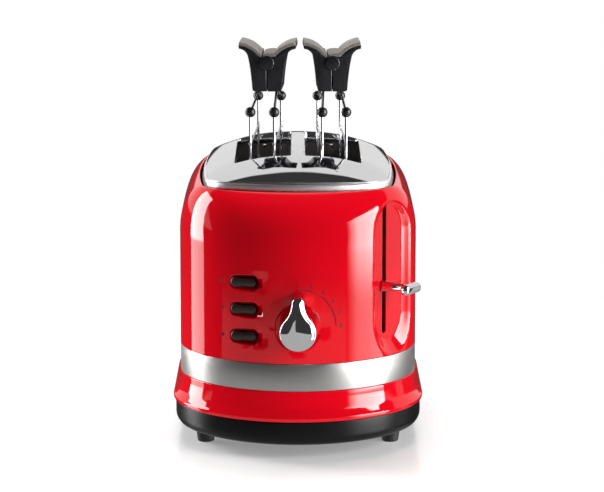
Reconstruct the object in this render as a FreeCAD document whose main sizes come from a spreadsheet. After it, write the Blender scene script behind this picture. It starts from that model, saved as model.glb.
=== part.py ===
import FreeCAD, Part
import math
import os
import re
import Sketcher
from types import SimpleNamespace
from FreeCAD import Placement, Rotation, Vector

# Two-slice toaster with a pair of sandwich tongs standing in its slots.
# Drawn about the body's own upright axis, controls towards -Y, lever on the +X side, worktop at Z 0.

doc = FreeCAD.newDocument("toaster")
sheet = doc.addObject("Spreadsheet::Sheet", "sizes")

driving = {
    # outer wall, a long form with rounded ends
    "wall_half_width": 84.6,
    "wall_half_length": 136.0,
    "shell_wall": 1.2,
    "feet_height": 10.0,
    "base_top": 28.0,
    "band_bottom": 49.0,
    "band_height": 19.5,
    "seam": 0.15,
    "shoulder_level": 150.0,
    "shoulder_turn": 70.0,
    "opening_level": 187.0,
    "opening_half_width": 69.9,
    "opening_half_length": 110.0,
    "opening_end_radius": 143.0,
    "opening_corner_radius": 17.0,
    # skirt and base
    "lip_flare": 5.4,
    "lip_bead": 1.8,
    "tongue_height": 6.5,
    "tongue_wall": 2.0,
    "base_wall": 2.6,
    "base_floor": 3.0,
    "gland_level": 19.0,
    "gland_bore_radius": 4.6,
    "foot_radius": 7.8,
    "foot_x": 66.0,
    "foot_y": 76.0,
    # chrome lid
    "lid_gap": 3.1,
    "lid_bottom": 185.0,
    "rim_height": 4.3,
    "lid_rise": 18.0,
    "lid_wall": 1.2,
    "slot_width": 39.5,
    "slot_length": 130.0,
    "slot_centre": 25.1,
    "slot_lip": 9.0,
    "lid_frame_height": 4.5,
    "lid_frame_reach": -0.4,
    # chassis
    "plate_y": 69.0,
    "plate_wall": 1.0,
    "plate_half_width": 62.0,
    "plate_shoulder": 46.0,
    "plate_top": 196.0,
    "rivet_level": 193.5,
    "rivet_radius": 1.6,
    "plate_cut_corner": 12.0,
    "flange_wall": 2.0,
    "flange_margin": 12.0,
    "bridge_width": 44.0,
    "shelf_left": 36.0,
    "shelf_width": 56.0,
    "board_bottom": 50.0,
    "board_top": 180.0,
    "board_wall": 0.6,
    "winding_wall": 0.3,
    "winding_width": 3.0,
    "winding_pitch": 12.5,
    "winding_margin": 6.0,
    "outer_board_x": 51.5,
    "shield_x": 57.0,
    "shield_drop": 14.0,
    "shield_rise": 6.0,
    "guard_wire": 1.6,
    "outer_guard_x": 46.6,
    "inner_guard_x": 3.2,
    "guard_pitch": 16.0,
    "guard_drop": 6.0,
    "guard_rise": 4.0,
    "guard_margin": 8.0,
    # carriage
    "carrier_level": 76.0,
    "carrier_half_width": 13.0,
    "carrier_wall": 1.2,
    "carrier_drop": 28.0,
    "carrier_lift": 47.5,
    "rail_width": 3.0,
    "rail_height": 8.0,
    "rail_tail": 5.0,
    "carrier_end_gap": 3.0,
    "window_width": 6.0,
    "window_length": 24.0,
    "window_pitch": 32.0,
    "bracket_y": 77.0,
    "bracket_wall": 2.0,
    "bracket_width": 74.0,
    "bracket_height": 58.0,
    "bracket_drop": 10.0,
    "block_width": 14.0,
    "block_height": 30.0,
    "block_margin": 6.0,
    "rod_y": 86.0,
    "rod_radius": 2.5,
    "spring_x": -14.0,
    "spring_radius": 3.5,
    "spring_wire": 0.8,
    "spring_tab_width": 8.0,
    "spring_tab_margin": 4.0,
    "magnet_left": 32.0,
    "magnet_width": 16.0,
    "core_width": 6.0,
    "keeper_width": 12.0,
    "bridge_level": 178.0,
    "lever_level": 117.6,
    "lever_height": 7.5,
    "blade_wall": 2.4,
    # lever dish
    "dish_turn": 55.3,
    "dish_depth": 7.4,
    "dish_width": 46.0,
    "dish_floor_width": 33.0,
    "dish_run": 60.0,
    "dish_level": 126.0,
    "slit_offset": -5.1,
    "slit_width": 5.0,
    "slit_clear": 3.3,
    "slit_head": 3.0,
    "paddle_reach": 22.0,
    "paddle_length": 20.0,
    "paddle_depth": 7.0,
    # browning knob
    "knob_level": 94.3,
    "knob_radius": 12.6,
    "knob_tip_height": 25.1,
    "knob_tip_radius": 4.2,
    "knob_flank_radius": 20.0,
    "knob_depth": 25.0,
    "knob_gap": 1.0,
    "knob_face_gap": 0.8,
    "knob_pocket_radius": 15.5,
    "knob_pocket_depth": 2.8,
    "shaft_radius": 3.0,
    "shaft_length": 12.0,
    "pot_radius": 9.0,
    "pot_depth": 9.0,
    "pot_lug_width": 10.0,
    "pot_lug_wall": 2.5,
    "circuit_wall": 1.6,
    "control_board_width": 44.0,
    "control_board_height": 60.0,
    # push buttons
    "button_turn": -14.0,
    "button_offset": -18.6,
    "button_level": 105.6,
    "button_pitch": 18.95,
    "button_width": 18.6,
    "button_height": 6.6,
    "button_waist": 0.5,
    "button_proud": 3.4,
    "button_travel": 2.0,
    "button_clear": 0.4,
    "button_floor": 78.6,
    "button_root": 4.0,
    "stem_width": 5.0,
    "stem_length": 7.0,
    "stem_height": 3.0,
    "switch_width": 12.0,
    "switch_depth": 8.0,
    "switch_height": 6.5,
    "switch_board_width": 22.0,
    "switch_board_margin": 10.0,
    "pocket_margin": 0.7,
    "pocket_scoop": 0.6,
    # crumb tray
    "tray_half_width": 41.0,
    "tray_wall": 0.8,
    "tray_level": 14.2,
    "tray_height": 7.6,
    "tray_front": 112.0,
    "tray_clear": 0.4,
    "window_reach": 30.0,
    "runner_width": 4.0,
    "runner_inset": 5.0,
    "finger_tab_width": 30.0,
    "runner_gap": 0.1,
    # screws that hold the chassis to the base
    "screw_x": 53.0,
    "screw_reach": 6.0,
    "screw_radius": 1.7,
    "screw_head_radius": 3.6,
    "screw_head_height": 1.4,
    "screw_clear": 0.2,
    "tab_wall": 1.5,
    "tab_width": 14.0,
    # tongs
    "grip_bottom": 245.0,
    "grip_depth": 36.0,
    "pivot_rise": 20.5,
    "pin_radius": 1.5,
    "knuckle_radius": 5.0,
    "cap_radius": 5.2,
    "pad_wall": 2.4,
    "tong_wire": 1.8,
    "jaw_spacing": 17.0,
    "jaw_half_length": 50.0,
    "jaw_bend": 5.0,
    "shoulder_drop": 11.0,
    "ball_radius": 3.75,
    "left_tong_x": -21.6,
    "left_tong_turn": -2.5,
    "left_jaw_shift": -1.7,
    "right_tong_x": 24.5,
    "right_tong_turn": 1.6,
    "right_jaw_shift": 0.0,
}
for row, (alias, value) in enumerate(driving.items(), start=1):
    sheet.set(f"A{row}", alias)
    sheet.set(f"B{row}", str(value))
    sheet.setAlias(f"B{row}", alias)
doc.recompute()
s = SimpleNamespace(**{alias: float(sheet.get(alias)) for alias in driving})


straight = s.wall_half_length - s.wall_half_width


def bound(rule):
    """Turn a rule such as "plate_y + plate_wall" into an expression on the sheet's cells."""
    in_sheet = lambda word: "sizes." + word[0] if word[0] in driving else word[0]
    return re.sub(r"[a-z][a-z_]*[a-z]", in_sheet, str(rule))


def place(piece, x="0", y="0", z="0"):
    for axis, rule in zip("xyz", (x, y, z)):
        piece.setExpression("Placement.Base." + axis, bound(rule))
    return piece


def box(name, length, width, height, x, y, z):
    """A block whose corner nearest -X, -Y and -Z stands at x, y, z."""
    piece = doc.addObject("Part::Box", name)
    for prop, rule in (("Length", length), ("Width", width), ("Height", height)):
        piece.setExpression(prop, bound(rule))
    return place(piece, x, y, z)


def rod(name, radius, length, x, y, z, along="z", sides=12):
    """A round bar drawn with flats, that starts at x, y, z and runs along +Z or +Y."""
    piece = doc.addObject("Part::Prism", name)
    piece.Polygon = sides
    piece.setExpression("Circumradius", bound(radius))
    piece.setExpression("Height", bound(length))
    piece.Placement = Placement(Vector(), Rotation(Vector(1, 0, 0), -90) if along == "y" else Rotation())
    return place(piece, x, y, z)


def fuse(name, pieces):
    joined = doc.addObject("Part::MultiFuse", name)
    joined.Shapes = pieces
    return joined


def cut(name, base, tools):
    if len(tools) > 1:
        tools = [fuse(name + "_cutters", tools)]
    left = doc.addObject("Part::Cut", name)
    left.Base = base
    left.Tool = tools[0]
    return left


def feature(name, shape):
    piece = doc.addObject("Part::Feature", name)
    piece.Shape = shape
    return piece


def turned(shape, axis_y, angle):
    """Turn a shape about the upright axis of one rounded end."""
    shape = shape.copy()
    shape.rotate(Vector(0, axis_y, 0), Vector(0, 0, 1), angle)
    return shape


def facetted(rings, closed=False):
    """Solid whose flat faces join rings of points, one to the next, and the last to the first if closed."""
    outlines = [] if closed else [rings[0], rings[-1]]
    for low, high in zip(rings, rings[1:] + rings[:1] if closed else rings[1:]):
        for index in range(len(low)):
            ahead = (index + 1) % len(low)
            quad = [low[index], low[ahead], high[ahead], high[index]]
            normal = (quad[1] - quad[0]).cross(quad[2] - quad[0]).normalize()
            flat = abs(normal.dot(quad[3] - quad[0])) < 1e-6
            outlines += [quad] if flat else [quad[:3], [quad[0]] + quad[2:]]
    faces = [Part.Face(Part.makePolygon(outline + outline[:1])) for outline in outlines]
    solid = Part.Solid(Part.Shell(faces))
    return solid if solid.Volume > 0 else solid.reversed()


def prism(points, run):
    return facetted([points, [point + run for point in points]])


def ring_of(centre, across, up, radius, sides):
    return [centre + across * (radius * math.cos(turn)) + up * (radius * math.sin(turn))
            for turn in (2 * math.pi * (step + 0.5) / sides for step in range(sides))]


def bar(start, run, radius, sides=12):
    """Straight round bar drawn with flats, along any of the three axes."""
    across, up = {"x": ((0, 1, 0), (0, 0, 1)), "y": ((0, 0, 1), (1, 0, 0)), "z": ((1, 0, 0), (0, 1, 0))}[
        "x" if run.x else "y" if run.y else "z"]
    return prism(ring_of(start, Vector(*across), Vector(*up), radius, sides), run)


def plan(half_width, half_length, end_radius, corner_radius, level, steps=7):
    """Points of an outline seen from above: straight sides, wide end arcs, a smaller arc at each corner."""
    across = half_width - corner_radius
    reach = half_length - end_radius
    ahead = math.sqrt((end_radius - corner_radius) ** 2 - across ** 2)
    join = math.atan2(ahead, across)
    quarter = []
    for step in range(steps + 1):
        turn = join * step / steps
        quarter.append((across + corner_radius * math.cos(turn),
                        reach + ahead + corner_radius * math.sin(turn)))
    for step in range(1, steps // 2 + 1):
        turn = join + (math.pi / 2 - join) * step / (steps // 2)
        quarter.append((end_radius * math.cos(turn), reach + end_radius * math.sin(turn)))
    half = quarter + [(-x, y) for x, y in reversed(quarter[:-1])]
    return [Vector(x, y, level) for x, y in half] + [Vector(-x, -y, level) for x, y in half]


def body_outline(outset, level):
    """The body's own plan, grown or shrunk by an outset; its four arcs are all but one radius."""
    nearly = 0.1
    return plan(s.wall_half_width + outset, s.wall_half_length + outset, s.wall_half_width + outset + nearly,
                s.wall_half_width + outset - nearly, level)


def around(section):
    """Carry a closed section of (outset, level) corners all the way round the body."""
    return facetted([body_outline(outset, level) for outset, level in section], closed=True)


def stadium(outset, bottom, top):
    return facetted([body_outline(outset, bottom), body_outline(outset, top)])


def pill(width, height, x, y, z, steps=6):
    """Points of an outline with round ends in the XZ plane, centred on x, z."""
    radius = min(width, height) / 2
    start = -90 if width > height else 0
    points = []
    for end in (1, -1):
        for step in range(steps + 1):
            turn = math.radians(start + (0 if end > 0 else 180) + 180 * step / steps)
            points.append(Vector(x + end * (width / 2 - radius) + radius * math.cos(turn), y,
                                 z + end * (height / 2 - radius) + radius * math.sin(turn)))
    return points


cutter_reach = 12.0


end_axis = -straight
band_top = s.band_bottom + s.band_height
dish_floor = end_axis - s.wall_half_width + s.dish_depth
blade_height = s.lever_height * 0.8


def shell_form(inset, steps):
    """Upper body as a solid: upright wall, then the shoulder that drops to the lid opening."""
    turn = math.radians(s.shoulder_turn)
    heights = [(band_top, 0)]
    for step in range(steps + 1):
        angle = turn * step / steps
        across = (1 - math.cos(angle)) / (1 - math.cos(turn))
        drop = math.sin(angle) / math.sin(turn)
        heights.append((s.shoulder_level + (s.opening_level - s.shoulder_level) * drop, across))
    outlines = []
    for level, across in heights:
        mix = lambda wall, opening: wall + (opening - wall) * across - inset
        outlines.append(plan(mix(s.wall_half_width, s.opening_half_width),
                             mix(s.wall_half_length, s.opening_half_length),
                             mix(s.wall_half_width + 0.1, s.opening_end_radius),
                             mix(s.wall_half_width - 0.1, s.opening_corner_radius), level))
    return facetted(outlines)


def lever_dish(grow):
    """Cutter for the hollow behind the lever: a flat floor with round ends, and sloping walls."""
    slope = (s.dish_width - s.dish_floor_width) / 2 / (s.dish_depth * 0.6)
    width, floor = s.dish_floor_width + 2 * grow, dish_floor + grow
    mouth = width + 2 * slope * cutter_reach
    cutter = facetted([pill(width, width + s.dish_run, 0, floor, s.dish_level),
                       pill(mouth, mouth + s.dish_run, 0, floor - cutter_reach, s.dish_level)])
    return turned(cutter, end_axis, s.dish_turn)


def knob_pocket(grow):
    floor = -s.wall_half_length + s.knob_pocket_depth + grow
    return bar(Vector(0, floor, s.knob_level), Vector(0, -cutter_reach, 0), s.knob_pocket_radius + grow, 32)


def button_pocket(level, grow):
    """Cutter for a hollow that fits round one button and is scooped out at the end towards the knob."""
    width = s.button_width + 2 * (s.pocket_margin + grow)
    height = s.button_height + 2 * (s.pocket_margin + grow)
    floor = end_axis - s.button_floor + grow
    scoop = s.pocket_scoop * cutter_reach
    cutter = facetted([pill(width, height, s.button_offset, floor, level),
                       pill(width + scoop, height, s.button_offset + scoop / 2, floor - cutter_reach, level)])
    return turned(cutter, end_axis, s.button_turn)


button_levels = [s.button_level + step * s.button_pitch for step in (1, 0, -1)]


def outer_shell():
    outside, inside = shell_form(0, 5), shell_form(s.shell_wall, 3)
    recesses = [lever_dish, knob_pocket] + [lambda grow, level=level: button_pocket(level, grow)
                                            for level in button_levels]
    outside = outside.cut([recess(0) for recess in recesses])
    inside = inside.cut([recess(s.shell_wall) for recess in recesses])
    slit_height = s.carrier_drop + s.carrier_lift + blade_height + 2 * s.slit_clear + s.slit_head
    slit_level = s.lever_level + (s.carrier_lift - s.carrier_drop + s.slit_head) / 2
    slit = prism(pill(s.slit_width, slit_height, s.slit_offset, dish_floor - 8, slit_level), Vector(0, 16, 0))
    holes = [turned(slit, end_axis, s.dish_turn),
             bar(Vector(0, -s.wall_half_length - 5, s.knob_level), Vector(0, 20, 0), s.shaft_radius + 0.6)]
    for level in button_levels:
        stem = prism(pill(s.button_width + 2 * s.button_clear, s.button_height + 2 * s.button_clear,
                          s.button_offset, end_axis - s.button_floor - 6, level), Vector(0, 12, 0))
        holes.append(turned(stem, end_axis, s.button_turn))
    return feature("outer_shell", outside.cut([inside] + holes))


def trim_band():
    low, high = s.band_bottom + s.seam, band_top - s.seam
    return feature("trim_band", around([(0, low), (0, high), (-s.shell_wall, high), (-s.shell_wall, low)]))


def base_skirt():
    """Flared ring with a rounded lip, and the tongue behind the band that the shell stands over."""
    tongue = -s.shell_wall - 0.3
    inner = tongue - s.tongue_wall
    top = band_top + s.tongue_height
    low, high = s.base_top, s.band_bottom
    neck = low + s.lip_bead * 2
    corners = [(tongue, top), (tongue, high), (0, high), (0.2, high - 5.5), (s.lip_flare * 0.4, neck + 3.6),
               (s.lip_flare - 0.6, neck), (s.lip_flare, low + 1.6), (s.lip_flare - 0.9, low),
               (s.lip_flare - 3, low), (-1.2, neck + 8), (inner, high - 4), (inner, top)]
    return feature("base_skirt", around(corners).cut(lever_dish(s.shell_wall + 0.3)))


base_outset = 3.6
screw_y = s.plate_y + s.plate_wall + s.screw_reach
screw_places = [(x * s.screw_x, y * screw_y) for x in (-1, 1) for y in (-1, 1)]


def base_section(inner, floor):
    """Section of the base's side: upright above, rounding in below; filled in to the given inner face."""
    low, high = s.feet_height, s.base_top
    inner_face = base_outset - s.base_wall
    return [(base_outset, high), (base_outset - 0.4, low + 8), (base_outset - 2.6, low + 3),
            (base_outset - 7.6, low), (inner, low), (inner, floor), (inner_face - 2.4, floor),
            (inner_face, floor + 4), (inner_face, high)]


def tray_window(grow):
    width = 2 * (s.tray_half_width + grow)
    return Part.makeBox(width, 2 * s.window_reach, s.tray_height + 2 * grow,
                        Vector(-width / 2, s.wall_half_length - s.window_reach, s.tray_level - grow))


bore_reach = 20


def gland_axis():
    return Vector(0, s.wall_half_length, s.gland_level)


def base_pan():
    """Moulded base: floor and side in one, with runners under the crumb tray and a window behind it."""
    floor = s.feet_height + s.base_floor
    rim = around(base_section(-20, floor))
    runner_height = s.tray_level - s.runner_gap - floor
    runner_x = s.tray_half_width - s.runner_inset
    runners = [Part.makeBox(s.runner_width, 2 * s.tray_front, runner_height,
                            Vector(side * runner_x - s.runner_width / 2, -s.tray_front, floor))
               for side in (-1, 1)]
    pan = rim.fuse([stadium(-20, s.feet_height, floor)] + runners).removeSplitter()
    hole = bar(gland_axis() - Vector(0, bore_reach, 0), Vector(0, 2 * bore_reach, 0), s.gland_bore_radius, 16)
    bores = [bar(Vector(x, y, s.feet_height - 5), Vector(0, 0, bore_reach), s.screw_radius + s.screw_clear)
             for x, y in screw_places]
    return feature("base_pan", pan.cut([tray_window(s.tray_clear), turned(hole, -end_axis, 45)] + bores))


def feet():
    """Four feet that taper towards the worktop, each with a softened rim."""
    sections = [(0, -2.2), (1.2, -1.2), (s.feet_height, 0)]
    pads = []
    for side, end in ((-1, -1), (1, -1), (-1, 1), (1, 1)):
        centre = Vector(side * s.foot_x, end * s.foot_y, 0)
        pads.append(facetted([ring_of(centre + Vector(0, 0, level), Vector(1, 0, 0), Vector(0, 1, 0),
                                      s.foot_radius + grow, 14) for level, grow in sections]))
    return feature("feet", Part.Compound(pads))


lid_half_width = s.opening_half_width - s.lid_gap
lid_half_length = s.opening_half_length - s.lid_gap
rim_top = s.lid_bottom + s.rim_height


def lid_form(inset, shares):
    """Pillow-shaped solid, steeper along its length than across it."""
    end = s.opening_end_radius - s.lid_gap - inset
    corner = s.opening_corner_radius - s.lid_gap - inset
    outlines = [plan(lid_half_width - inset, lid_half_length - inset, end, corner, level)
                for level in (s.lid_bottom, rim_top)]
    for share in shares:
        fall = 1 - share ** (4 / 3)
        half_width = (lid_half_width - inset) * fall ** 0.5
        half_length = (lid_half_length - inset) * fall ** 0.26
        scale = half_width / (lid_half_width - inset)
        level = rim_top + share * (s.lid_rise - inset)
        outlines.append(plan(half_width, half_length, end * scale ** 0.8, corner * scale, level))
    return facetted(outlines)


def slot_block(side, grow, bottom, top):
    width = s.slot_width + 2 * grow
    length = s.slot_length + 2 * grow
    return Part.makeBox(width, length, top - bottom,
                        Vector(side * s.slot_centre - width / 2, -length / 2, bottom))


def top_lid():
    outside = lid_form(0, (0.15, 0.4, 0.65, 0.86, 0.98))
    crown = rim_top + s.lid_rise + 5
    inside = lid_form(s.lid_wall, (0.3, 0.7, 0.96))
    lip_bottom = rim_top + s.lid_rise - s.slot_lip
    for side in (-1, 1):
        inside = inside.cut(slot_block(side, s.lid_wall * 0.7, lip_bottom, crown))
    lid = outside.cut(inside)
    for side in (-1, 1):
        lid = lid.cut(slot_block(side, 0, s.lid_bottom - 5, crown))
    return feature("top_lid", lid)


def lid_frame():
    low = s.lid_bottom - s.lid_frame_height
    grow = s.lid_frame_reach
    outline = plan(s.opening_half_width + grow, s.opening_half_length + grow, s.opening_end_radius + grow,
                   s.opening_corner_radius + grow, low)
    ring = prism(outline, Vector(0, 0, s.lid_frame_height))
    inner_x = s.plate_half_width + 1
    inner_y = s.plate_y + s.plate_wall
    hole = Part.makeBox(2 * inner_x, 2 * inner_y, 20, Vector(-inner_x, -inner_y, low - 5))
    return feature("lid_frame", ring.cut(hole))


def origin_plane(body, role):
    return next(item for item in body.Origin.OriginFeatures if item.Role == role)


def outlined_body(name, role, corners):
    """PartDesign body with a closed outline of straight edges, each corner tied to the sheet by two rules."""
    body = doc.addObject("PartDesign::Body", name)
    sketch = body.newObject("Sketcher::SketchObject", name + "_outline")
    sketch.AttachmentSupport = [(origin_plane(body, role), "")]
    sketch.MapMode = "FlatFace"
    points = [Vector(*[float(sheet.evalExpression(bound(rule))) for rule in corner], 0) for corner in corners]
    for index, point in enumerate(points):
        sketch.addGeometry(Part.LineSegment(point, points[(index + 1) % len(points)]), False)
    for index in range(len(points)):
        sketch.addConstraint(Sketcher.Constraint("Coincident", index, 2, (index + 1) % len(points), 1))
    for index, corner in enumerate(corners):
        for kind, rule, value in zip(("DistanceX", "DistanceY"), corner, points[index]):
            tie = sketch.addConstraint(Sketcher.Constraint(kind, -1, 1, index, 1, value))
            sketch.setExpression(f"Constraints[{tie}]", bound(rule))
    return body, sketch


def pad(body, sketch, length, reverse=False):
    solid = body.newObject("PartDesign::Pad", body.Name + "_pad")
    solid.Profile = sketch
    solid.setExpression("Length", bound(length))
    solid.Reversed = reverse
    return solid


def end_plate(name, side):
    """Pressed end plate with its sloped top corners, guide slots and rivet holes."""
    body, sketch = outlined_body(name + "_sheet", "XZ_Plane", [
        ("-plate_half_width", "feet_height + base_floor"), ("plate_half_width", "feet_height + base_floor"),
        ("plate_half_width", "plate_top - plate_cut_corner"), ("plate_shoulder", "plate_top"),
        ("-plate_shoulder", "plate_top"), ("-plate_half_width", "plate_top - plate_cut_corner")])
    pad(body, sketch, "plate_wall", reverse=side > 0)
    body.setExpression("Placement.Base.y", bound(f"{side} * plate_y"))
    before_plate = f"{side} * (plate_y + plate_wall / 2) - plate_wall / 2 - 2"
    slot_width = "(rail_width + 2)"
    slot_bottom = "carrier_level - rail_height - carrier_drop - 2"
    slot_height = "rail_height + carrier_drop + carrier_lift + 4"
    openings = []
    for hand, across in (("left", "-slot_centre"), ("right", "slot_centre")):
        openings.append(box(f"{name}_slot_{hand}", slot_width, "plate_wall + 4", slot_height,
                            f"{across} - {slot_width} / 2", before_plate, slot_bottom))
        openings.append(rod(f"{name}_rivet_{hand}", "rivet_radius", "plate_wall + 4", across, before_plate,
                            "rivet_level", "y", 8))
    openings.append(box(f"{name}_tray_passage", "2 * (tray_half_width + 2)", "plate_wall + 4",
                        "tray_level + tray_height", "-tray_half_width - 2", before_plate, "1.5"))
    floor = "feet_height + base_floor"
    tabs = []
    for hand, across in ((-1, "-screw_x"), (1, "screw_x")):
        tab_y = "plate_y" if side > 0 else "-plate_y - plate_wall - 2 * screw_reach"
        tabs.append(box(f"{name}_tab_{hand + 1}", "tab_width", "plate_wall + 2 * screw_reach", "tab_wall",
                        f"{across} - tab_width / 2", tab_y, floor))
        bore_y = f"{side} * (plate_y + plate_wall + screw_reach)"
        openings.append(rod(f"{name}_tab_bore_{hand + 1}", "screw_radius + screw_clear", "tab_wall + 2",
                            across, bore_y, f"{floor} - 1", sides=8))
    return body, tabs, openings


def rear_end_plate():
    body, tabs, openings = end_plate("rear_end_plate", 1)
    return cut("rear_end_plate", fuse("rear_end_plate_tabbed", [body] + tabs), openings)


def front_end_plate():
    """The front plate also has the two flanges that hold the guide rod and the spring."""
    body, tabs, openings = end_plate("front_end_plate", -1)
    outer = "-(plate_y + plate_wall)"
    depth = "(rod_y - plate_y - plate_wall + flange_margin)"
    front = f"{outer} - {depth}"
    bridge = box("spring_bridge", "bridge_width", depth, "flange_wall", "-bridge_width / 2", front,
                 "bridge_level")
    shelf = box("magnet_shelf", "shelf_width", depth, "flange_wall", "-shelf_left", front, "base_top")
    return cut("front_end_plate", fuse("front_end_plate_flanged", [body, bridge, shelf] + tabs), openings)


def heater(name, board_x, faces):
    """Mica board with flat resistance ribbon wound across it on the given faces."""
    length = "2 * plate_y"
    pieces = [box(name + "_board", "board_wall", length, "board_top - board_bottom",
                  f"{board_x} - board_wall / 2", "-plate_y", "board_bottom")]
    ribbon_length = length + " - 2 * winding_margin"
    turns = int((s.board_top - s.board_bottom - 2 * s.winding_margin) / s.winding_pitch)
    for face in faces:
        lean = "board_wall / 2" if face > 0 else "-board_wall / 2 - winding_wall"
        for turn in range(turns + 1):
            pieces.append(box(f"{name}_ribbon_{'p' if face > 0 else 'n'}{turn}", "winding_wall",
                              ribbon_length, "winding_width", f"{board_x} + {lean}",
                              "winding_margin - plate_y",
                              f"board_bottom + winding_margin + {turn} * winding_pitch"))
    return fuse(name, pieces)


def heat_shield(name, side):
    return box(name, "board_wall", "2 * plate_y", "board_top - board_bottom + shield_drop + shield_rise",
               f"{side} * shield_x - board_wall / 2", "-plate_y", "board_bottom - shield_drop")


def bread_guard(name, x):
    """Upright wires between two long rails, so that bread can't touch the ribbons."""
    radius = "guard_wire / 2"
    low, high = "board_bottom - guard_drop", "board_top + guard_rise"
    pieces = [rod(f"{name}_rail_{index}", radius, "2 * plate_y", x, "-plate_y", level, "y", 4)
              for index, level in enumerate((low, high))]
    count = int((s.plate_y - s.guard_margin) / s.guard_pitch)
    for step in range(-count, count + 1):
        pieces.append(rod(f"{name}_wire_{step + count}", radius, f"({high}) - ({low})", x,
                          f"{step} * guard_pitch", low, sides=4))
    return fuse(name, pieces)


def guide_rod():
    return rod("guide_rod", "rod_radius", "bridge_level - base_top - flange_wall", "0", "-rod_y",
               "base_top + flange_wall")


def return_spring():
    low = "carrier_level + 10"
    length = f"bridge_level - ({low})"
    sleeve = rod("spring_outside", "spring_radius", length, "spring_x", "-rod_y", low)
    bore = rod("spring_inside", "spring_radius - spring_wire", length + " + 2", "spring_x", "-rod_y",
               low + " - 1")
    return cut("return_spring", sleeve, [bore])


def bread_carrier(name, side):
    """Bread rest with windows, on a deep rail that runs out through both end plates."""
    centre = f"{side} * slot_centre"
    rest = box(name + "_rest", "2 * carrier_half_width", "2 * (plate_y - carrier_end_gap)", "carrier_wall",
               f"{centre} - carrier_half_width", "carrier_end_gap - plate_y", "carrier_level - carrier_wall")
    rail = box(name + "_rail", "rail_width", "bracket_y + plate_y + rail_tail", "rail_height",
               f"{centre} - rail_width / 2", "-bracket_y", "carrier_level - rail_height")
    windows = []
    for hand in (-1, 1):
        for step in range(4):
            window_x = f"{centre} + {hand} * (carrier_half_width / 2 + 0.5) - window_width / 2"
            window_y = f"({step} - 1.5) * window_pitch - window_length / 2"
            windows.append(box(f"{name}_window_{(hand + 1) // 2}{step}", "window_width", "window_length",
                               "carrier_wall + 2", window_x, window_y, "carrier_level - carrier_wall - 1"))
    return fuse(name, [cut(name + "_pierced", rest, windows), rail])


def carriage_bracket():
    """Cross plate in front of the chassis, with the block that runs on the guide rod."""
    front = "-(bracket_y + bracket_wall)"
    to_rod = "rod_y - bracket_y - bracket_wall"
    plate = box("bracket_plate", "bracket_width", "bracket_wall", "bracket_height", "-bracket_width / 2",
                front, "carrier_level - bracket_drop")
    block = box("bracket_block", "block_width", to_rod + " + block_margin", "block_height",
                "-block_width / 2", "-rod_y - block_margin", "carrier_level + 6")
    tab = box("spring_tab", "spring_tab_width", to_rod + " + spring_tab_margin", "flange_wall",
              "spring_x - spring_tab_width / 2", "-rod_y - spring_tab_margin", "carrier_level + 8")
    bore = rod("bracket_bore", "rod_radius + 0.4", "2 * block_height", "0", "-rod_y", "carrier_level - 5")
    return cut("carriage_bracket", fuse("bracket_solid", [plate, block, tab]), [bore])


def latch_magnet():
    coil_x = "-magnet_left"
    core_x = coil_x + " + (magnet_width - core_width) / 2"
    core = box("magnet_core", "core_width", "2 * core_width", "magnet_width", core_x, "-rod_y - 8",
               "base_top + flange_wall")
    coil = box("magnet_coil", "magnet_width", "magnet_width", "2 * core_width", coil_x, "-rod_y - 10",
               "base_top + flange_wall + 1")
    return fuse("latch_magnet", [core, coil])


def latch_keeper():
    return box("latch_keeper", "keeper_width", "rod_y - bracket_y - bracket_wall + block_margin",
               "flange_wall", "-magnet_left + (magnet_width - keeper_width) / 2", "-rod_y - block_margin",
               "base_top + flange_wall + magnet_width + 0.4 + carrier_drop")


def lever_blade_form(grow, start, end):
    """Flat bar along the dish's own normal, between two distances from the axis of the rounded end."""
    wall = s.blade_wall + 2 * grow
    height = blade_height + 2 * grow
    bar = Part.makeBox(wall, end - start, height,
                       Vector(s.slit_offset - wall / 2, end_axis - end, s.lever_level - height / 2))
    return turned(bar, end_axis, s.dish_turn)


bracket_face = -(s.bracket_y + s.bracket_wall)
arm_foot_wall = 2
dish_across, dish_ahead = math.sin(math.radians(s.dish_turn)), math.cos(math.radians(s.dish_turn))
blade_start = (s.slit_offset * dish_across + end_axis - bracket_face + arm_foot_wall / 2) / dish_ahead


def lever_arm():
    """Flat bar out through the dish, on a foot that lies against the bracket."""
    blade = lever_blade_form(0, blade_start, s.wall_half_width - s.dish_depth + s.paddle_reach - 2)
    blade_x = s.slit_offset * dish_ahead + blade_start * dish_across
    foot = Part.makeBox(26, arm_foot_wall, blade_height,
                        Vector(blade_x - 20, bracket_face - arm_foot_wall, s.lever_level - blade_height / 2))
    return feature("lever_arm", blade.fuse(foot).removeSplitter())


def soft_rectangle(centre, width, height, corner):
    """Upright rectangle with cut corners, seen from the front."""
    half_x, half_z = width / 2, height / 2
    corners = [(half_x, half_z - corner), (half_x - corner, half_z), (corner - half_x, half_z),
               (-half_x, half_z - corner), (-half_x, corner - half_z), (corner - half_x, -half_z),
               (half_x - corner, -half_z), (half_x, corner - half_z)]
    return [centre + Vector(across, 0, up) for across, up in corners]


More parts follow.
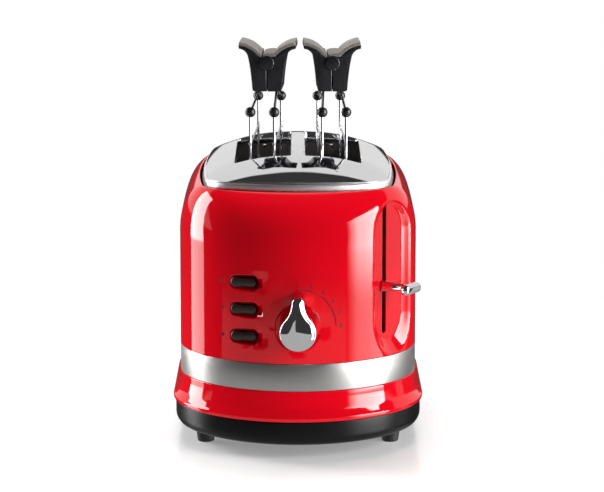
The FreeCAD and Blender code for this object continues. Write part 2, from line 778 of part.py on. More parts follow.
def lever_paddle():
    """Rounded bar across the end of the arm, on a flared neck that just clears the dish."""
    floor = s.wall_half_width - s.dish_depth
    centre = Vector(s.slit_offset, end_axis - floor - s.paddle_reach, s.lever_level)
    half_depth = s.paddle_depth / 2
    bar = facetted([soft_rectangle(centre + Vector(0, out, 0), s.paddle_length - shrink,
                                   s.lever_height - shrink, 2.2 - shrink / 4)
                    for out, shrink in ((half_depth, 1.6), (half_depth - 1, 0), (2 - half_depth, 0),
                                        (-half_depth, 3.2))])
    neck = facetted([soft_rectangle(centre + Vector(0, s.paddle_reach - 1, 0), 10, 7.6, 1),
                     soft_rectangle(centre, 6, 5.6, 1)])
    paddle = turned(bar.fuse(neck), end_axis, s.dish_turn)
    blade_room = lever_blade_form(0.05, blade_start, floor + s.paddle_reach - 1.95)
    return feature("lever_paddle", paddle.cut(blade_room))


def drop_outline(shrink, y):
    """Drop shape: a round body and a narrow tip joined by hollow flanks."""
    body = s.knob_radius - shrink
    tip = s.knob_tip_radius - shrink
    flank = s.knob_flank_radius + shrink
    tip_z = s.knob_tip_height - s.knob_tip_radius
    far, near = flank + body, flank + tip
    centre_z = (far ** 2 - near ** 2 + tip_z ** 2) / (2 * tip_z)
    centre_x = math.sqrt(far ** 2 - centre_z ** 2)
    sweep = lambda centre_x, centre_z, radius, first, last, steps: [
        (centre_x + radius * math.cos(first + (last - first) * step / steps),
         centre_z + radius * math.sin(first + (last - first) * step / steps)) for step in range(steps + 1)]
    lean = math.atan2(centre_z, centre_x)
    tilt = math.atan2(centre_z - tip_z, centre_x)
    right = sweep(0, 0, body, -math.pi / 2, lean, 10)
    right += sweep(centre_x, centre_z, flank, lean + math.pi, tilt + math.pi, 4)[1:]
    right += sweep(0, tip_z, tip, tilt, math.pi / 2, 3)[1:]
    half = right[1:-1]
    corners = [right[0]] + half + [right[-1]] + [(-x, z) for x, z in reversed(half)]
    return [Vector(x, y, s.knob_level + z) for x, z in corners]


def browning_knob():
    """Drop-shaped knob with a slightly domed face, on a round collar in its pocket."""
    back = -s.wall_half_length + s.knob_pocket_depth - s.knob_gap
    front = back - s.knob_depth
    shoulder = -s.wall_half_length - s.knob_face_gap
    body = facetted([drop_outline(0, shoulder), drop_outline(0, front + 2.6), drop_outline(1.0, front + 1.0),
                     drop_outline(3.0, front)])
    start = Vector(0, back, s.knob_level)
    collar = bar(start, Vector(0, shoulder - back - 1, 0), s.knob_radius - 0.4, 16)
    socket = bar(start + Vector(0, 1, 0), Vector(0, 4 - s.shaft_length, 0), s.shaft_radius + 0.1, 16)
    return feature("browning_knob", body.fuse(collar).cut(socket))


pot_front = -s.wall_half_length + s.knob_pocket_depth + s.shell_wall + 0.6


def knob_shaft():
    back = -s.wall_half_length + s.knob_pocket_depth - s.knob_gap
    start = back - s.shaft_length + 5
    return feature("knob_shaft", bar(Vector(0, start, s.knob_level), Vector(0, pot_front + 4 - start, 0),
                                     s.shaft_radius, 16))


def browning_potentiometer():
    case = bar(Vector(0, pot_front, s.knob_level), Vector(0, s.pot_depth, 0), s.pot_radius, 20)
    lugs_at = Vector(-s.pot_lug_width / 2, pot_front + s.pot_depth - s.pot_lug_wall, s.knob_level - 16)
    lugs = Part.makeBox(s.pot_lug_width, s.pot_lug_wall, 8, lugs_at)
    bore = bar(Vector(0, pot_front - 0.1, s.knob_level), Vector(0, 4.6, 0), s.shaft_radius + 0.4, 16)
    return feature("browning_potentiometer", case.fuse(lugs).cut(bore))


def control_board():
    corner = Vector(-14, pot_front + s.pot_depth, s.knob_level - 24)
    board = Part.makeBox(s.control_board_width, s.circuit_wall, s.control_board_height, corner)
    return feature("control_board", board)


def button_outline(level, y, steps=6):
    """Long outline with round ends and a slightly drawn-in middle."""
    corners = pill(s.button_width, s.button_height, s.button_offset, y, level, steps)
    ends = (steps + 1, 2 * (steps + 1))
    half_waist = s.button_height / 2 - s.button_waist
    waist = [Vector(s.button_offset, y, level + way * half_waist) for way in (1, -1)]
    return corners[:ends[0]] + waist[:1] + corners[ends[0]:ends[1]] + waist[1:]


def push_button(name, level):
    """Cap on a stem that meets its switch."""
    front = end_axis - s.button_floor - s.button_proud
    depth = s.button_proud + s.button_root
    cap = prism(button_outline(level, front), Vector(0, depth, 0))
    stem_at = Vector(s.button_offset - s.stem_width / 2, front + depth, level - s.stem_height / 2)
    stem = Part.makeBox(s.stem_width, s.stem_length, s.stem_height, stem_at)
    return feature(name, turned(cap.fuse(stem).removeSplitter(), end_axis, s.button_turn))


def switch_front():
    stem_end = end_axis - s.button_floor + s.button_root + s.stem_length
    return stem_end + s.button_travel + 0.4


def button_switches():
    left = s.button_offset - s.switch_width / 2
    cases = [Part.makeBox(s.switch_width, s.switch_depth, s.switch_height,
                          Vector(left, switch_front(), level - s.switch_height / 2))
             for level in button_levels]
    cases = [turned(case, end_axis, s.button_turn) for case in cases]
    return feature("button_switches", Part.Compound(cases))


def switch_board():
    low = button_levels[-1] - s.switch_board_margin
    corner = Vector(s.button_offset - s.switch_board_width / 2, switch_front() + s.switch_depth, low)
    board = Part.makeBox(s.switch_board_width, s.circuit_wall,
                         button_levels[0] - low + s.switch_board_margin, corner)
    return feature("switch_board", turned(board, end_axis, s.button_turn))


def crumb_tray():
    """Shallow pan whose rear edge is a piece of the base's own wall, with a small finger tab."""
    width = 2 * s.tray_half_width
    length = s.tray_front + s.wall_half_length
    inner_face = base_outset - s.base_wall
    low = s.tray_level
    depth = s.tray_height - 1.2
    pan = Part.makeBox(width, length, depth, Vector(-s.tray_half_width, -s.tray_front, low))
    pan = pan.common(stadium(inner_face + 0.5, low, low + depth))
    inner_corner = Vector(-s.tray_half_width + s.tray_wall, -s.tray_front + s.tray_wall, low + s.tray_wall)
    hollow = Part.makeBox(width - 2 * s.tray_wall, length, depth, inner_corner)
    hollow = hollow.common(stadium(inner_face - s.tray_wall, low, low + depth + 1))
    lip = around(base_section(-20, s.feet_height + s.base_floor)).common(tray_window(0))
    tab = Part.makeBox(s.finger_tab_width, 5, 1.6, Vector(-s.finger_tab_width / 2, s.wall_half_length, low))
    return feature("crumb_tray", pan.cut(hollow).fuse([lip, tab]).removeSplitter())


def cord_gland():
    """Flanged sleeve through the rear of the base, where a power lead enters."""
    start = gland_axis() - Vector(0, 4, 0)
    sleeve = bar(start, Vector(0, 10, 0), 4.4, 16)
    flange = bar(gland_axis() + Vector(0, 4.2, 0), Vector(0, 2.2, 0), 6.5, 16)
    bore = bar(gland_axis() - Vector(0, 10, 0), Vector(0, 30, 0), 3.0, 16)
    return feature("cord_gland", turned(sleeve.fuse(flange).cut(bore), -end_axis, 45))


def terminal_block():
    corner = Vector(5 - s.plate_half_width, s.plate_y + s.plate_wall, s.base_top)
    block = Part.makeBox(12, 10, 22, corner)
    cells = [Part.makeBox(5, 6, 4, corner + Vector(3.5, 5, 2 + 7 * step)) for step in range(3)]
    return feature("terminal_block", block.cut(cells))


def base_screws():
    screws = []
    for x, y in screw_places:
        at = Vector(x, y, s.feet_height)
        head = bar(at, Vector(0, 0, -s.screw_head_height), s.screw_head_radius, 8)
        shank = bar(at, Vector(0, 0, s.base_floor + s.tab_wall + 3), s.screw_radius, 6)
        screws.append(head.fuse(shank))
    return feature("base_screws", Part.Compound(screws))


def bent_wire(points, bend, radius, sides=5, bend_steps=2):
    """Wire with a few flats along straight runs, each corner turned in short steps."""
    centres = [points[0]]
    for before, corner, after in zip(points, points[1:], points[2:]):
        back = (before - corner).normalize()
        ahead = (after - corner).normalize()
        half = back.getAngle(ahead) / 2
        trim = bend / math.tan(half)
        hub = corner + (back + ahead).normalize() * (bend / math.sin(half))
        first, last = corner + back * trim, corner + ahead * trim
        for step in range(bend_steps + 1):
            share = step / bend_steps
            spoke = (first - hub) * (1 - share) + (last - hub) * share
            centres.append(hub + spoke.normalize() * bend)
    centres.append(points[-1])
    side = Vector(1, 0, 0)
    rings = []
    for index, centre in enumerate(centres):
        ahead = centres[min(index + 1, len(centres) - 1)] - centre
        behind = centre - centres[max(index - 1, 0)]
        along = Vector()
        for run in (ahead, behind):
            along += run.normalize() if run.Length else run
        along.normalize()
        up = along.cross(side).normalize()
        rings.append(ring_of(centre, up.cross(along).normalize(), up, radius, sides))
    return facetted(rings)


def facetted_ball(centre, radius, sides=8, bands=5):
    rings = []
    for band in range(bands + 1):
        tilt = math.pi * (band - bands / 2) / (bands + 0.6)
        rings.append(ring_of(centre + Vector(0, 0, radius * math.sin(tilt)), Vector(1, 0, 0), Vector(0, 1, 0),
                             radius * math.cos(tilt), sides))
    return facetted(rings)


jaw_bottom = s.carrier_level + 0.3 + s.tong_wire / 2 - s.grip_bottom


def jaw_path(side, shift):
    across = side * s.jaw_spacing / 2 + shift
    inside = side * 6.4
    half = s.jaw_half_length
    return [Vector(inside, -7, 7), Vector(inside, -9, -1), Vector(across, -half, -s.shoulder_drop),
            Vector(across, -half, jaw_bottom), Vector(across, half, jaw_bottom),
            Vector(across, half, -s.shoulder_drop), Vector(inside, 9, -1), Vector(inside, 7, 7)]


def jaw_form(side, shift, radius):
    path = jaw_path(side, shift)
    loop = bent_wire(path, s.jaw_bend, radius)
    across = path[2].x
    bars = []
    level = -s.shoulder_drop - 23
    while level > jaw_bottom + 10:
        bars.append(bar(Vector(across, -s.jaw_half_length, level), Vector(0, 2 * s.jaw_half_length, 0),
                        radius * 0.85, 4))
        level -= 26.5
    return loop.fuse(bars)


def curve(first, middle, last, steps):
    """Points along the arc through three corners, without its first one."""
    ark = Part.Arc(*(Vector(x, 0, z) for x, z in (first, middle, last)))
    share = (ark.LastParameter - ark.FirstParameter) / steps
    return [(point.x, point.z) for point in (ark.value(ark.FirstParameter + share * step)
                                             for step in range(1, steps + 1))]


def grip_half(side):
    """Winged grip of one half, and the soft pad that lies along the top of its wing."""
    depth = s.grip_depth
    seam = 0.3
    top_in = -3.2 if side > 0 else 4.2
    wing_top = curve((21.9, 33.2), (13.2, 30.7), (6.4, 25.2), 3) + [(top_in, 24.6)]
    outline = [(seam, 0), (10.5, 0)] + curve((10.5, 0), (12.2, 12.5), (14.8, 25.6), 3)
    outline += curve((14.8, 25.6), (17.2, 29.2), (21.7, 30.9), 3) + [(21.9, 33.2)] + wing_top
    if side > 0:
        outline += [(top_in, 23.4), (0.7, 23.4), (0.7, s.pivot_rise), (seam, s.pivot_rise)]
    else:
        outline += [(top_in, s.pivot_rise), (seam, s.pivot_rise)]
    pad_outline = [(21.9, 33.2)] + wing_top + [(top_in, 24.6 + s.pad_wall)]
    pad_outline += curve((top_in, 24.6 + s.pad_wall), ((top_in + 5.6) / 2, 25.6 + s.pad_wall),
                         (5.6, 25.4 + s.pad_wall), 2)
    pad_outline += curve((5.6, 25.4 + s.pad_wall), (12.6, 30.9 + s.pad_wall), (21.3, 33.4 + s.pad_wall), 3)
    grip, soft = (prism([Vector(side * x, -depth / 2, z) for x, z in corners], Vector(0, depth, 0))
                  for corners in (outline, pad_outline))
    axis = Vector(0, 0, s.pivot_rise)
    knuckle = lambda start, end, radius: bar(axis + Vector(0, start, 0), Vector(0, end - start, 0),
                                             radius, 16)
    third = depth / 6
    own = [(-third, third)] if side > 0 else [(-depth / 2, -third - 0.4), (third + 0.4, depth / 2)]
    other = [(-depth / 2 - 1, -third), (third, depth / 2 + 1)] if side > 0 else [(-third - 0.4, third + 0.4)]
    for start, end in other:
        grip = grip.cut(knuckle(start, end, s.knuckle_radius + 0.4))
        soft = soft.cut(knuckle(start, end, s.knuckle_radius + 0.4))
    for start, end in own:
        grip = grip.fuse(knuckle(start, end, s.knuckle_radius))
        soft = soft.cut(knuckle(start, end, s.knuckle_radius))
    bore = bar(axis - Vector(0, depth, 0), Vector(0, 2 * depth, 0), s.pin_radius + 0.1)
    sockets = [Part.makeBox(2.4, 7.6, 8.2, Vector(side * 6.4 - 1.2, start, -0.1)) for start in (-13, 5.4)]
    return grip.cut([bore] + sockets), soft


def tong(hand, x, turn, shift):
    """One pair of sandwich tongs: pin, and for each half a grip, a pad, a wire jaw and its stop balls."""
    stand = Placement(Vector(x, 0, s.grip_bottom), Rotation(Vector(0, 0, 1), turn))
    label = "tong_" + hand
    made = []

    def add(name, shape):
        piece = feature(f"{label}_{name}", shape)
        piece.Placement = stand
        made.append(piece)

    for half, side in (("inner", -1 if hand == "right" else 1), ("outer", 1 if hand == "right" else -1)):
        grip, soft = grip_half(side)
        clear_wire = jaw_form(side, shift, s.tong_wire / 2 + 0.05)
        add(half + "_grip", grip)
        add(half + "_pad", soft)
        add(half + "_jaw", jaw_form(side, shift, s.tong_wire / 2))
        balls = []
        for corner in (jaw_path(side, shift)[2], jaw_path(side, shift)[5]):
            balls.append(facetted_ball(corner, s.ball_radius).cut(clear_wire))
        add(half + "_balls", Part.Compound(balls))
    axis = Vector(0, 0, s.pivot_rise)
    front = s.grip_depth / 2 + 0.4
    pin = bar(axis - Vector(0, front, 0), Vector(0, 2 * front, 0), s.pin_radius)
    cap = lambda y: bar(axis + Vector(0, y, 0), Vector(0, 1.4, 0), s.cap_radius, 14)
    add("pin", pin.fuse([cap(-front - 1.4), cap(front)]).removeSplitter())
    return made


sub_parts = [
    outer_shell(), trim_band(), base_skirt(), base_pan(), feet(), top_lid(), lid_frame(),
    front_end_plate(), rear_end_plate(),
    heater("heater_left", "-outer_board_x", [1]), heater("heater_centre", "0", [-1, 1]),
    heater("heater_right", "outer_board_x", [-1]),
    heat_shield("heat_shield_left", -1), heat_shield("heat_shield_right", 1),
    bread_guard("guard_left_outer", "-outer_guard_x"), bread_guard("guard_left_inner", "-inner_guard_x"),
    bread_guard("guard_right_inner", "inner_guard_x"), bread_guard("guard_right_outer", "outer_guard_x"),
    guide_rod(), return_spring(), bread_carrier("bread_carrier_left", -1),
    bread_carrier("bread_carrier_right", 1), carriage_bracket(), latch_magnet(), latch_keeper(),
    lever_arm(), lever_paddle(),
    browning_knob(), knob_shaft(), browning_potentiometer(), control_board(),
    push_button("button_top", button_levels[0]), push_button("button_middle", button_levels[1]),
    push_button("button_bottom", button_levels[2]), button_switches(), switch_board(),
    crumb_tray(), cord_gland(), terminal_block(), base_screws(),
]
sub_parts += tong("left", s.left_tong_x, s.left_tong_turn, s.left_jaw_shift)
sub_parts += tong("right", s.right_tong_x, s.right_tong_turn, s.right_jaw_shift)
doc.recompute()

for piece in doc.Objects:
    if "Invalid" in piece.State or "Error" in piece.State:
        raise RuntimeError(f"{piece.Name} failed to build: {piece.State}")
for piece in sub_parts:
    if piece.Shape.isNull() or not piece.Shape.isValid():
        raise RuntimeError(f"{piece.Label} has no valid shape")

# The parts are written about the middle of the whole length, from the knob's face to the skirt behind.
whole = FreeCAD.BoundBox()
for piece in sub_parts:
    whole.add(piece.Shape.BoundBox)
to_origin = Vector(0, -whole.Center.y, 0)
print(f"moved by {to_origin.y:.3f} mm along Y")

os.makedirs("parts", exist_ok=True)
for piece in sub_parts:
    piece.Shape.translated(to_origin).exportStep(f"parts/{piece.Label}.step")
    extent = piece.Shape.BoundBox
    print(f"{piece.Label}: {len(piece.Shape.Solids)} solid(s), {piece.Shape.Volume:.0f} mm3, "
          f"z {extent.ZMin:.1f} to {extent.ZMax:.1f}")
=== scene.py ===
import math

import bmesh
import bpy
from mathutils import Matrix, Vector


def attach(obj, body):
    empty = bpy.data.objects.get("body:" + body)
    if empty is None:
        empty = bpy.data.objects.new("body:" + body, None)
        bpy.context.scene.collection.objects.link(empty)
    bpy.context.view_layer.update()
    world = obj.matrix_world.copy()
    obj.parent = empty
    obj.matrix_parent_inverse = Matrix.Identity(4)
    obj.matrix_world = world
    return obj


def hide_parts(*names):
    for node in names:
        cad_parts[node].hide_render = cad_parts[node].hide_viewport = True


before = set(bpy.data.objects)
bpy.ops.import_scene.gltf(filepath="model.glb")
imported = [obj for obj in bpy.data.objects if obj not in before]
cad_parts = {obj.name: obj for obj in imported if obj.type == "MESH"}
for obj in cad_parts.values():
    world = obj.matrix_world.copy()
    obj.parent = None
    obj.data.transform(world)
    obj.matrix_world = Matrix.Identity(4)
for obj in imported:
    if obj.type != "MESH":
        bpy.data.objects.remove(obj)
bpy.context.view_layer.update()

# Two-slice toaster with a pair of sandwich tongs in each slot. Sizes are in millimetres until a mesh is made.
mm = 0.001
scene = bpy.context.scene
scene.view_settings.view_transform = "Standard"

# The frame's origin lies 8.9 mm in front of the body's own axis, about which every piece is drawn.
body = {"shift": 8.9, "halfWidth": 84.6, "halfLength": 136.0, "straight": 51.4, "bandTop": 68.5,
        "shoulder": 150.0, "shoulderTurn": 70.0, "opening": 185.4, "openingPlan": (70.4, 110.5, 143.5, 27.5),
        "bow": (0.0255, 9.6e-6), "shellWall": 1.2}

# The controls' places on the front: a turn about its axis, an offset across it, a recess's floor and levels.
controls = {"leverTurn": 55.3, "leverX": -5.1, "dishFloor": 77.2, "knobLevel": 94.3, "buttonTurn": -14.0,
            "buttonX": -18.6, "pocketFloor": 78.6, "buttonLevels": (124.55, 105.6, 86.65)}


def toLinear(colour):
    channels = [int(colour[start:start + 2], 16) / 255 for start in (1, 3, 5)]
    linear = [value / 12.92 if value <= 0.04045 else ((value + 0.055) / 1.055) ** 2.4 for value in channels]
    return linear + [1.0]


def addNode(tree, kind, inputs=None, **settings):
    node = tree.nodes.new("ShaderNode" + kind)
    for name, value in settings.items():
        setattr(node, name, value)
    for socket, value in (inputs or {}).items():
        if isinstance(value, bpy.types.NodeSocket):
            tree.links.new(value, node.inputs[socket])
        else:
            node.inputs[socket].default_value = value
    return node


def makeFinish(name, look):
    # A base colour that drifts to a second one in soft patches, with its own grain in gloss and relief.
    material = bpy.data.materials.new(name)
    material.use_nodes = True
    tree = material.node_tree
    shader = tree.nodes["Principled BSDF"]
    for socket, value in look.get("shader", {}).items():
        shader.inputs[socket].default_value = value
    place = addNode(tree, "TexCoord").outputs["Object"]
    scale = [way / (look["grain"] * mm) for way in look.get("stretch", (1, 1, 1))]
    grain = addNode(tree, "Mapping", {"Vector": place, "Scale": scale})
    noise = addNode(tree, "TexNoise", {"Vector": grain.outputs[0], "Scale": 1.0, "Roughness": 0.55,
                                       "Detail": look.get("detail", 3.0)})
    patch = addNode(tree, "TexNoise", {"Vector": place, "Detail": 2.0,
                                       "Scale": 1 / (look.get("patch", 40) * mm)})
    share = addNode(tree, "MapRange", {"Value": patch.outputs["Fac"], "From Min": 0.35, "From Max": 0.65})
    mix = addNode(tree, "Mix", {"Factor": share.outputs[0], "A": toLinear(look["colour"]),
                                "B": toLinear(look["drift"])}, data_type="RGBA")
    gloss = addNode(tree, "MapRange", {"Value": noise.outputs["Fac"], "From Min": 0.3, "From Max": 0.7,
                                       "To Min": look["roughness"][0], "To Max": look["roughness"][1]})
    relief = addNode(tree, "Bump", {"Height": noise.outputs["Fac"], "Strength": look.get("strength", 0.3),
                                    "Distance": look["relief"] * mm})
    tree.links.new(mix.outputs["Result"], shader.inputs["Base Color"])
    tree.links.new(gloss.outputs[0], shader.inputs["Roughness"])
    tree.links.new(relief.outputs[0], shader.inputs["Normal"])
    return material


finishes = {name: makeFinish(name, look) for name, look in {
    # Stoving enamel on pressed steel: a deep glossy red with the faint long ripple of sprayed enamel.
    "redStovingEnamel": {"colour": "#E5031A", "drift": "#DD0319", "grain": 9, "patch": 70,
                         "roughness": (0.04, 0.06), "relief": 0.02, "strength": 0.25, "detail": 1.0,
                         "shader": {"IOR": 1.52}},
    # Stainless steel brushed along the band: fine level lines that spread the highlights upwards.
    "brushedStainlessSteel": {"colour": "#C8C7C5", "drift": "#BEBDBB", "grain": 0.5,
                              "stretch": (0.02, 0.02, 1.0), "roughness": (0.3, 0.44), "relief": 0.02,
                              "strength": 0.25, "shader": {"Metallic": 1.0}},
    # Polypropylene moulding with a fine spark texture: soft, slightly grey highlights.
    "mouldedPolypropylene": {"colour": "#0B0B0C", "drift": "#100F11", "grain": 0.6,
                             "roughness": (0.26, 0.36), "relief": 0.03, "strength": 0.2,
                             "shader": {"IOR": 1.49, "Specular IOR Level": 0.22}},
    # Vulcanised rubber feet: matter and a little browner than the base.
    "vulcanisedRubber": {"colour": "#131214", "drift": "#1B1A1B", "grain": 0.8, "roughness": (0.5, 0.65),
                         "relief": 0.06, "strength": 0.3, "shader": {"IOR": 1.52}},
    # Bright chrome plate on steel: near mirror, with the slight waver of pressed sheet.
    "chromePlate": {"colour": "#E9EAEC", "drift": "#E4E5E8", "grain": 14, "roughness": (0.03, 0.05),
                    "relief": 0.012, "strength": 0.2, "detail": 1.0, "shader": {"Metallic": 1.0}},
    # The lid's rolled edge, buffed less finely than its top: broad soft highlights.
    "rolledSteelEdge": {"colour": "#F1F2F4", "drift": "#E9EAEC", "grain": 8, "roughness": (0.42, 0.46),
                        "relief": 0.002, "detail": 1.0, "shader": {"Metallic": 1.0}},
    # Drawn wire with nickel-chrome plate: bright, with short marks from the die along it.
    "platedWire": {"colour": "#A9AAAD", "drift": "#9B9CA0", "grain": 1.2, "stretch": (1, 0.3, 0.3),
                   "roughness": (0.2, 0.3), "relief": 0.01, "shader": {"Metallic": 1.0}},
    # Gloss ABS buttons: dark brown-black with a clean moulded skin.
    "glossAbs": {"colour": "#2B1E1B", "drift": "#30221F", "grain": 2.5, "roughness": (0.2, 0.28),
                 "relief": 0.01, "shader": {"IOR": 1.54}},
    # Phenolic grips: dense blue-black plastic, half glossy, with a faint moulded ripple.
    "phenolicMoulding": {"colour": "#101116", "drift": "#17181F", "grain": 8, "roughness": (0.3, 0.36),
                         "relief": 0.003, "detail": 1.0, "shader": {"IOR": 1.6}},
    # Silicone pads: warm grey, matt, with a powdery bloom.
    "siliconePad": {"colour": "#807A75", "drift": "#89837E", "grain": 0.7, "roughness": (0.5, 0.62),
                    "relief": 0.03, "shader": {"IOR": 1.41}},
    # Turned and tumbled nylon beads: black with a soft gloss.
    "tumbledNylon": {"colour": "#0E0E11", "drift": "#15151A", "grain": 1.5, "roughness": (0.3, 0.4),
                     "relief": 0.015, "shader": {"IOR": 1.53}},
    # Zinc plated sheet: pale, a little blue, with patches that differ from grain to grain.
    "zincPlatedSheet": {"colour": "#B4B6B8", "drift": "#9EA1A6", "grain": 5, "patch": 9,
                        "roughness": (0.22, 0.42), "relief": 0.02, "shader": {"Metallic": 1.0}},
    # Aluminised steel inside the oven: warm and smeared by heat, so it takes a golden cast.
    "aluminisedSheet": {"colour": "#C7B79A", "drift": "#A98F66", "grain": 6, "patch": 14,
                        "roughness": (0.16, 0.34), "relief": 0.5, "shader": {"Metallic": 1.0}},
    # Blackened steel end plates: dull dark grey with soft heat marks.
    "blackenedSheet": {"colour": "#8E8A87", "drift": "#7B7875", "grain": 4, "patch": 18,
                       "roughness": (0.36, 0.5), "relief": 0.02, "shader": {"Metallic": 1.0}},
    # Mica sheet: greenish beige flakes with a dull sheen.
    "micaSheet": {"colour": "#8D7F62", "drift": "#A4977A", "grain": 1.6, "patch": 6,
                  "roughness": (0.3, 0.5), "relief": 0.05, "shader": {"IOR": 1.58}},
    # Solder-masked glass laminate: dark green with a woven undertone.
    "glassLaminate": {"colour": "#0F4A2C", "drift": "#0B3C24", "grain": 0.9, "roughness": (0.2, 0.35),
                      "relief": 0.02, "shader": {"IOR": 1.55}},
    # Enamelled copper winding: warm brown with the lines of its turns.
    "copperWinding": {"colour": "#8A4A22", "drift": "#6E3616", "grain": 0.8, "stretch": (0.05, 0.05, 1),
                      "roughness": (0.25, 0.4), "relief": 0.08, "shader": {"Metallic": 1.0}},
    # Pad-printed ink: flat black with the tiny breaks of a printed film.
    "paddedInk": {"colour": "#1A0A0B", "drift": "#26090B", "grain": 0.5, "roughness": (0.35, 0.5),
                  "relief": 0.005, "shader": {"IOR": 1.5}},
}.items()}
print("materials made:", len(finishes))


def only(kind, items):
    return [item for item in items if isinstance(item, kind)]


def sortOut(form):
    bmesh.ops.remove_doubles(form, verts=form.verts, dist=1e-6)
    bmesh.ops.recalc_face_normals(form, faces=form.faces)


def toObject(name, form, material):
    mesh = bpy.data.meshes.new(name)
    form.to_mesh(mesh)
    form.free()
    mesh.materials.append(finishes[material])
    piece = bpy.data.objects.new(name, mesh)
    scene.collection.objects.link(piece)
    return piece


def finalMesh(piece):
    return bpy.data.meshes.new_from_object(piece.evaluated_get(bpy.context.evaluated_depsgraph_get()))


def settle(piece, sharpAngle=32):
    # Modifiers are applied, and only edges that turn more than sharpAngle stay sharp.
    mesh = finalMesh(piece)
    piece.modifiers.clear()
    piece.data = mesh
    form = bmesh.new()
    form.from_mesh(mesh)
    for face in form.faces:
        face.smooth = True
    for edge in form.edges:
        edge.smooth = edge.calc_face_angle(0) < math.radians(sharpAngle)
    form.to_mesh(mesh)
    form.free()
    return piece


def thicken(piece, wall):
    solidify = piece.modifiers.new("wall", "SOLIDIFY")
    solidify.thickness = wall * mm
    solidify.offset = -1
    return solidify


def cutFrom(piece, form, operation="DIFFERENCE"):
    # A boolean with a scratch form, in the piece's own material.
    step = piece.modifiers.new("cut", "BOOLEAN")
    step.operation = operation
    step.solver = "EXACT"
    step.object = toObject("cutter", form, piece.data.materials[0].name)
    mesh = finalMesh(piece)
    bpy.data.objects.remove(step.object)
    piece.modifiers.clear()
    piece.data = mesh


def fit(piece, bodyName, slotName, *nodes):
    piece.data.transform(Matrix.Translation((0, body["shift"] * mm, 0)))
    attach(piece, bodyName)
    if nodes:
        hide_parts(*nodes)


def fitForm(name, form, material, bodyName, slotName, *nodes, sharpAngle=32):
    fit(settle(toObject(name, form, material), sharpAngle), bodyName, slotName, *nodes)


def roundEdges(form, edges, width, segments, **settings):
    bmesh.ops.bevel(form, geom=edges, offset=width * mm, segments=segments, affect="EDGES", profile=0.5,
                    material=-1, **settings)


def drawOut(form, face, way):
    # The face moves along way and leaves walls behind; the edges round it come back.
    grown = bmesh.ops.extrude_face_region(form, geom=[face])["geom"]
    tip = only(bmesh.types.BMVert, grown)
    bmesh.ops.translate(form, vec=Vector(way) * mm, verts=tip)
    tip = set(tip)
    return [edge for edge in form.edges if tip.issuperset(edge.verts)]


def addPrism(form, outline, back, front, bevel=0.0, segments=3):
    # An upright outline in x and z becomes a solid from y = back to y = front, with its front edge rounded.
    face = form.faces.new([form.verts.new((x * mm, back * mm, z * mm)) for x, z in outline])
    rim = drawOut(form, face, (0, front - back, 0))
    if bevel:
        roundEdges(form, rim, bevel, segments, clamp_overlap=True)


def addBox(form, size, centre=(0, 0, 0)):
    verts = bmesh.ops.create_cube(form, size=1)["verts"]
    bmesh.ops.scale(form, vec=Vector(size) * mm, verts=verts)
    bmesh.ops.translate(form, vec=Vector(centre) * mm, verts=verts)


def addRod(form, radius, depth, segments):
    return bmesh.ops.create_cone(form, cap_ends=True, segments=segments, radius1=radius * mm,
                                 radius2=radius * mm, depth=depth * mm)["verts"]


def faceHeight(face):
    return face.calc_center_median().z


def gridForm(columns, rows, place):
    # A sheet of faces whose corners lie where place puts each pair of shares.
    form = bmesh.new()
    bmesh.ops.create_grid(form, x_segments=columns, y_segments=rows, size=0.5)
    for vert in form.verts:
        vert.co = place(vert.co.x + 0.5, vert.co.y + 0.5)
    return form


def addLine(form, points, closed=True):
    verts = [form.verts.new(Vector(point) * mm) for point in points]
    return verts, [form.edges.new(pair) for pair in zip(verts, verts[1:] + (verts[:1] if closed else []))]


def spinLine(form, points, centre, axis, steps, closed=False):
    verts, edges = addLine(form, points, closed)
    bmesh.ops.spin(form, geom=verts + edges, cent=Vector(centre) * mm, axis=axis, angle=2 * math.pi,
                   steps=steps, use_merge=True)


def turnedForm(form, turn):
    bmesh.ops.rotate(form, cent=(0, -body["straight"] * mm, 0), verts=form.verts,
                     matrix=Matrix.Rotation(math.radians(turn), 3, "Z"))


def sweepArc(centre, radius, first, last, steps):
    turns = [first + (last - first) * step / steps for step in range(steps + 1)]
    return [(centre[0] + radius * math.cos(turn), centre[1] + radius * math.sin(turn)) for turn in turns]


def pillOutline(width, height, x=0.0, z=0.0, steps=16):
    radius = min(width, height) / 2
    start = -90 if width > height else 0
    points = []
    for end in (1, -1):
        for step in range(steps + 1):
            turn = math.radians(start + (0 if end > 0 else 180) + 180 * step / steps)
            points.append((x + end * (width / 2 - radius) + radius * math.cos(turn),
                           z + end * (height / 2 - radius) + radius * math.sin(turn)))
    return points


def roundOff(points, radius, steps=5, closed=True):
    # Each corner of a line of points becomes an arc, with one radius for all or one for each.
    rounded = []
    count = len(points)
    for index in range(count):
        corner = Vector(points[index])
        own = radius[index] if isinstance(radius, (list, tuple)) else radius
        if own == 0 or (not closed and index in (0, count - 1)):
            rounded.append(corner)
            continue
        back = Vector(points[index - 1]) - corner
        ahead = Vector(points[(index + 1) % count]) - corner
        half = back.angle(ahead) / 2
        trim = min(own / math.tan(half), back.length * 0.49, ahead.length * 0.49)
        bend = trim * math.tan(half)
        hub = corner + (back.normalized() + ahead.normalized()).normalized() * (bend / math.sin(half))
        first, last = corner + back.normalized() * trim - hub, corner + ahead.normalized() * trim - hub
        for step in range(steps + 1):
            rounded.append(hub + first.slerp(last, step / steps).normalized() * bend)
    return rounded


